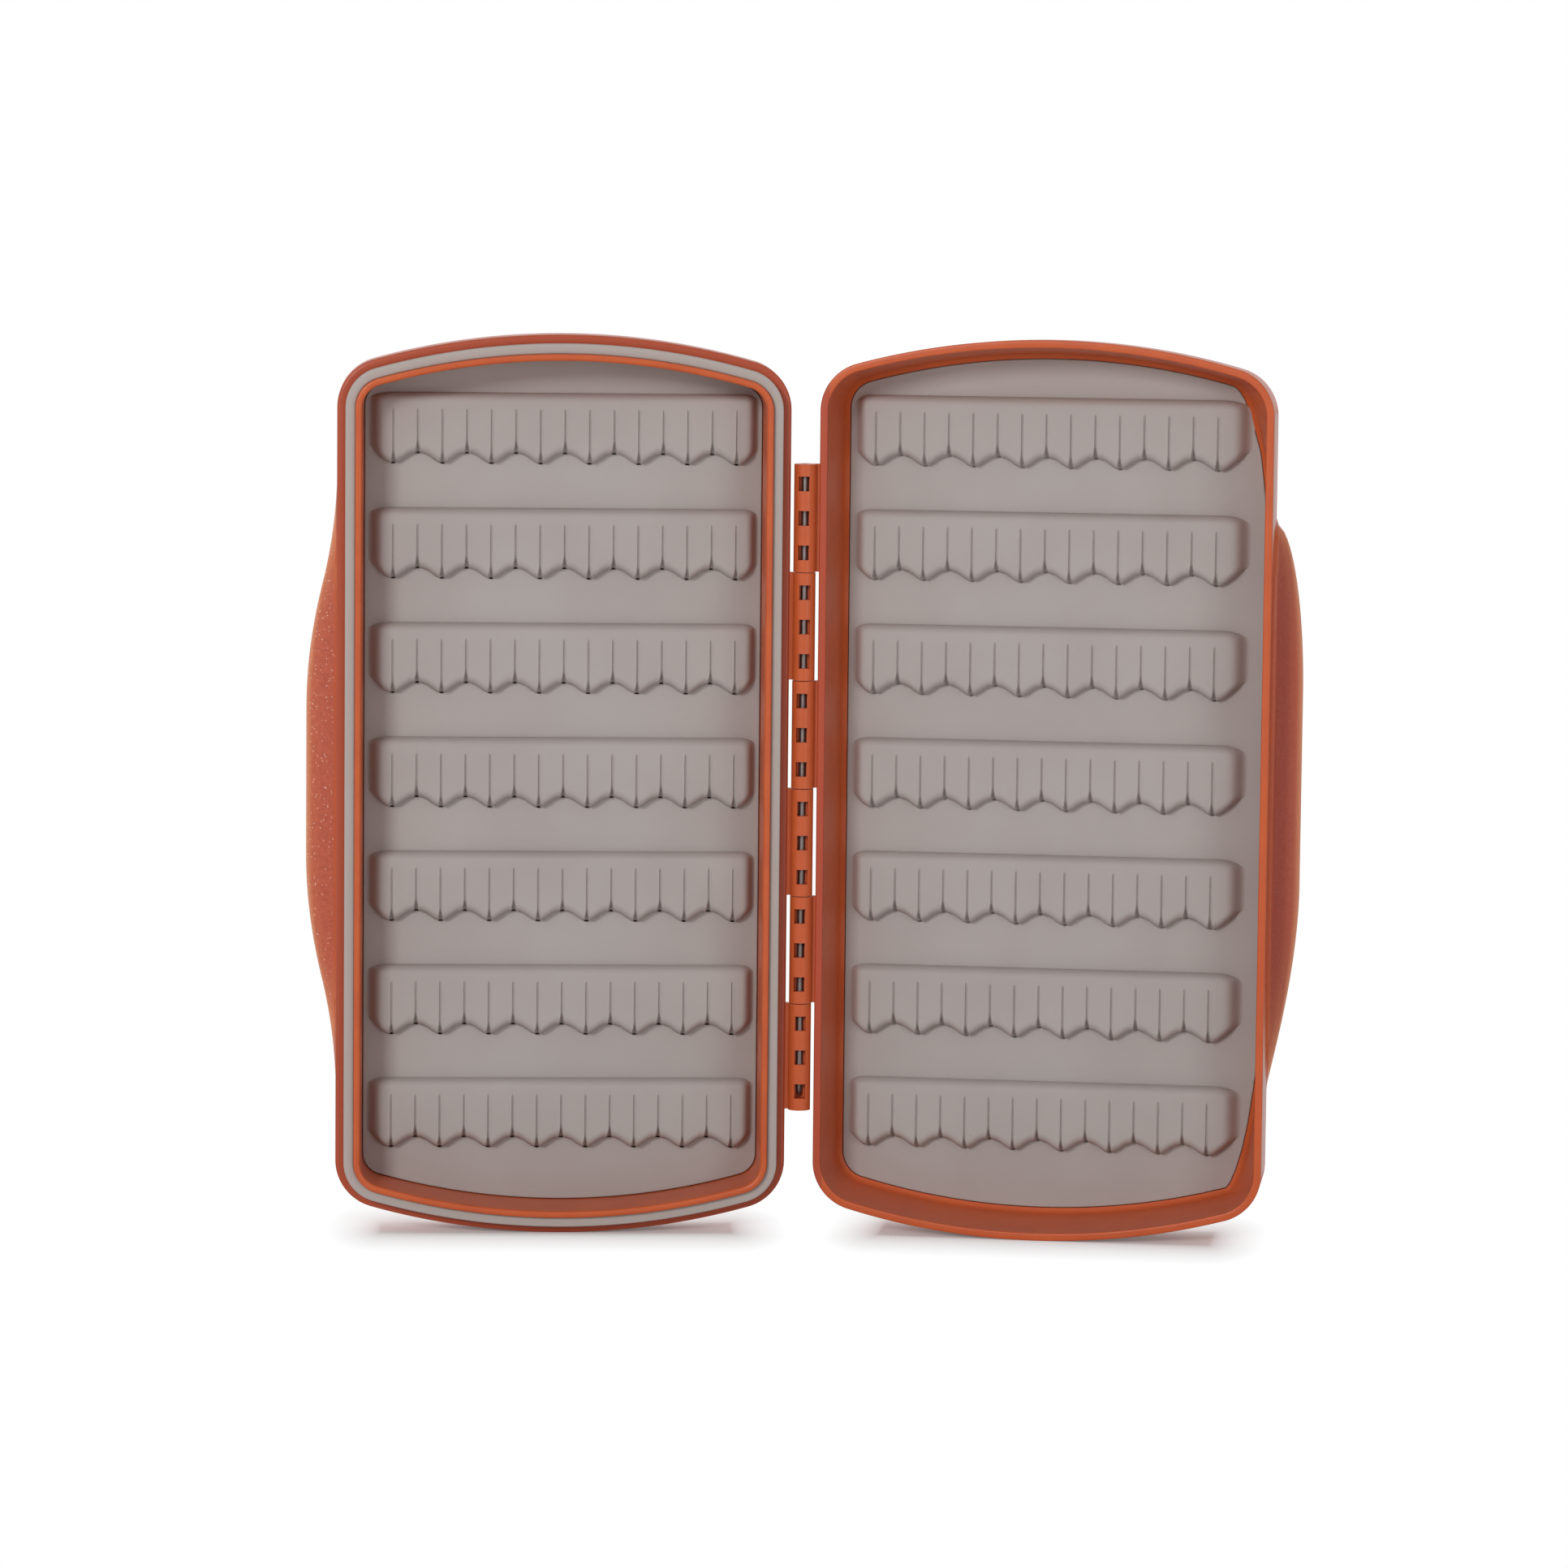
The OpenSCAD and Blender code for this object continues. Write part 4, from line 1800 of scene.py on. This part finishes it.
@dataclass(frozen=True)
class FloorShadowPatch:
    """Where a half stands over the floor, bounding the painted shadow there, in metres: its
    middle and its half sides.

    Those along the half are doubled, as its distance is.
    """

    half: Half
    deep_at: float
    long: float
    deep: float
    out_at: float = 0.1
    out_scale: float = 2.0

    def away(self, s: Surface) -> Sock:
        """Distance from the patch, counted double along the half.

        Args:
            s: the floor's material.

        Returns:
            The distance.
        """
        way, deeper = SIZE.ways(self.half)
        x = s.along(way * self.out_scale, -self.out_at).math("ABSOLUTE") - self.long
        y = s.along(deeper, -self.deep_at).math("ABSOLUTE") - self.deep
        x, y = x.at_least(0.0), y.at_least(0.0)
        return (x * x + y * y).math("SQRT")


@dataclass(frozen=True)
class Floor:
    """White floor whose shade is only faint to the camera, except near the halves, where a
    painted shadow darkens it to grey even where lit, around its real shade.
    """

    half_side: float = 12.0
    colour: Triple = (0.9, 0.9, 0.9)
    glow: float = 0.12
    fade: float = 0.022
    power: float = 0.6
    base: FloorShadowPatch = FloorShadowPatch(Half.BASE, deep_at=0.006, long=0.072, deep=0.006)
    lid: FloorShadowPatch = FloorShadowPatch(Half.LID, deep_at=0.009, long=0.068, deep=0.008)

    def build(self) -> None:
        """Makes the floor and its material."""
        mesh = bpy.data.meshes.new("floor")
        r = self.half_side
        mesh.from_pydata([(-r, -r, 0), (r, -r, 0), (r, r, 0), (-r, r, 0)], [], [(0, 1, 2, 3)])
        thing = place("floor", mesh)
        s = Surface("floor")
        # Painted shadow: near the halves the white glow gives way to the dull floor, which is
        # darker grey even where lit, on top of its real shade.
        near = self.base.away(s).at_most(self.lid.away(s))
        share = self.glow + (1 - self.glow) * (near / self.fade).clamp() ** self.power
        seen = s.sock("ShaderNodeLightPath", "Is Camera Ray") * share
        dull = s.node("ShaderNodeBsdfDiffuse", {"Color": self.colour}).outputs[0]
        glow = s.node("ShaderNodeEmission").outputs[0]
        mix = s.node("ShaderNodeMixShader", {0: seen, 1: dull, 2: glow})
        s.node("ShaderNodeOutputMaterial", {0: mix.outputs[0]})
        mesh.materials.append(s.material)
        thing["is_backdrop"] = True


@dataclass(frozen=True)
class Surround:
    """White surround, plain white to the camera and dimmer in front of the part."""

    front: float = 0.42
    behind: float = 1.0
    turn: tuple[float, float] = (0.0, 0.5)

    def build(self) -> None:
        """Makes the world."""
        world = bpy.data.worlds.new("surround")
        bpy.context.scene.world = world
        world.use_nodes = True
        t = Tree(world.node_tree)
        way = t.sock("ShaderNodeTexCoord", "Generated")
        back = t.sock("ShaderNodeSeparateXYZ", "Y", {0: way}).ramp(*self.turn)
        power = self.front + (self.behind - self.front) * back
        lit, seen = (
            t.node("ShaderNodeBackground", {"Color": WHITE, "Strength": strength}).outputs[0]
            for strength in (power, 1.0)
        )
        ray = t.node("ShaderNodeLightPath").outputs
        either = Sock(t, ray["Is Camera Ray"]).at_least(Sock(t, ray["Is Glossy Ray"]))
        mix = t.node("ShaderNodeMixShader", {0: either, 1: lit, 2: seen})
        t.node("ShaderNodeOutputWorld", {0: mix.outputs[0]})


@dataclass(frozen=True)
class Lamp:
    """A square area lamp that faces the part, its place and side in metres."""

    kind: Light
    place: Triple
    side: float
    watts: float
    aim: Triple = (0, 0, 0.092)

    def build(self) -> None:
        """Makes the lamp."""
        data = bpy.data.lights.new(self.kind.value, "AREA")
        data.shape = "SQUARE"
        data.size = self.side
        data.energy = self.watts
        lamp = place(self.kind.value, data)
        lamp.location = self.place
        look = Vector(self.aim) - Vector(self.place)
        lamp.rotation_euler = look.to_track_quat("-Z", "Y").to_euler()
        lamp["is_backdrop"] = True


@dataclass(frozen=True)
class Camera:
    """Camera at the photo's viewing angle, its eye seen from the pin at mid length."""

    eye: Triple = (-72.475, -1328.086, 145.294)
    right: Triple = (0.99867, -0.05060, 0.00999)
    ahead: Triple = (0.05139, 0.99282, -0.10799)
    focal_pixels: float = 8079.7
    photo_pixels: float = 1932
    sensor: float = 36
    clip: tuple[float, float] = (0.05, 60)

    def build(self) -> None:
        """Makes the camera and gives it to the scene."""
        data = bpy.data.cameras.new("camera")
        data.lens = self.focal_pixels / self.photo_pixels * self.sensor
        data.sensor_width = self.sensor
        data.clip_start, data.clip_end = self.clip
        camera = place("camera", data)
        back = -Vector(self.ahead).normalized()
        up = back.cross(Vector(self.right).normalized()).normalized()
        right = up.cross(back).normalized()
        turn = Matrix((right, up, back)).transposed()
        spot = (Vector(self.eye) - Vector(SIZE.origin)) * MM
        camera.matrix_world = Matrix.Translation(spot) @ turn.to_4x4()
        bpy.context.scene.camera = camera


# ---------------------------------------------------------------- whole


class FlyBox:
    """The dressed part and its setting."""

    def __init__(self) -> None:
        """Loads the frame and keeps its size."""
        self.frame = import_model()
        self.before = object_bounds()

    def parts(self) -> list[Union[Shell, SlitMat, Seal, Pin, Films]]:
        """Sub-assemblies in the order in which they are built.

        Returns:
            The sub-assemblies.
        """
        outline, mat = Outline(), MAT.make()
        parts = []
        for half, finish in ((Half.BASE, BASE_SHELL), (Half.LID, LID_SHELL)):
            parts.append(Shell(half, outline, finish.make()))
            parts.append(SlitMat(half, outline, mat))
        parts.append(Seal(outline, FRAME.make(), SEAL.make()))
        parts.append(Pin(STEEL.make()))
        parts.append(Films(self.frame["nodes"], FILM.make()))
        return parts

    def setting(self) -> list[Union[Floor, Surround, Lamp, Camera]]:
        """Floor, surround, lamps and camera.

        Returns:
            Them in order: the key stands near at the upper left, the wider fill at the right.
        """
        key = Lamp(Light.KEY, (-0.938, -1.918, 0.86), side=0.452, watts=21.4)
        fill = Lamp(Light.FILL, (1.08, -1.98, 0.2), side=0.675, watts=7.2)
        return [Floor(), Surround(), key, fill, Camera()]


def main() -> None:
    """Builds the classes in order and reports each piece."""
    logging.basicConfig(level=logging.INFO, format="%(name)s: %(message)s")
    box = FlyBox()
    for part in box.parts():
        for piece in part.build():
            LOG.info("%s: %d faces", piece.name, len(piece.data.polygons))
    for thing in box.setting():
        thing.build()
    bpy.context.scene.view_settings.view_transform = "Standard"


if __name__ == "__main__":
    main()
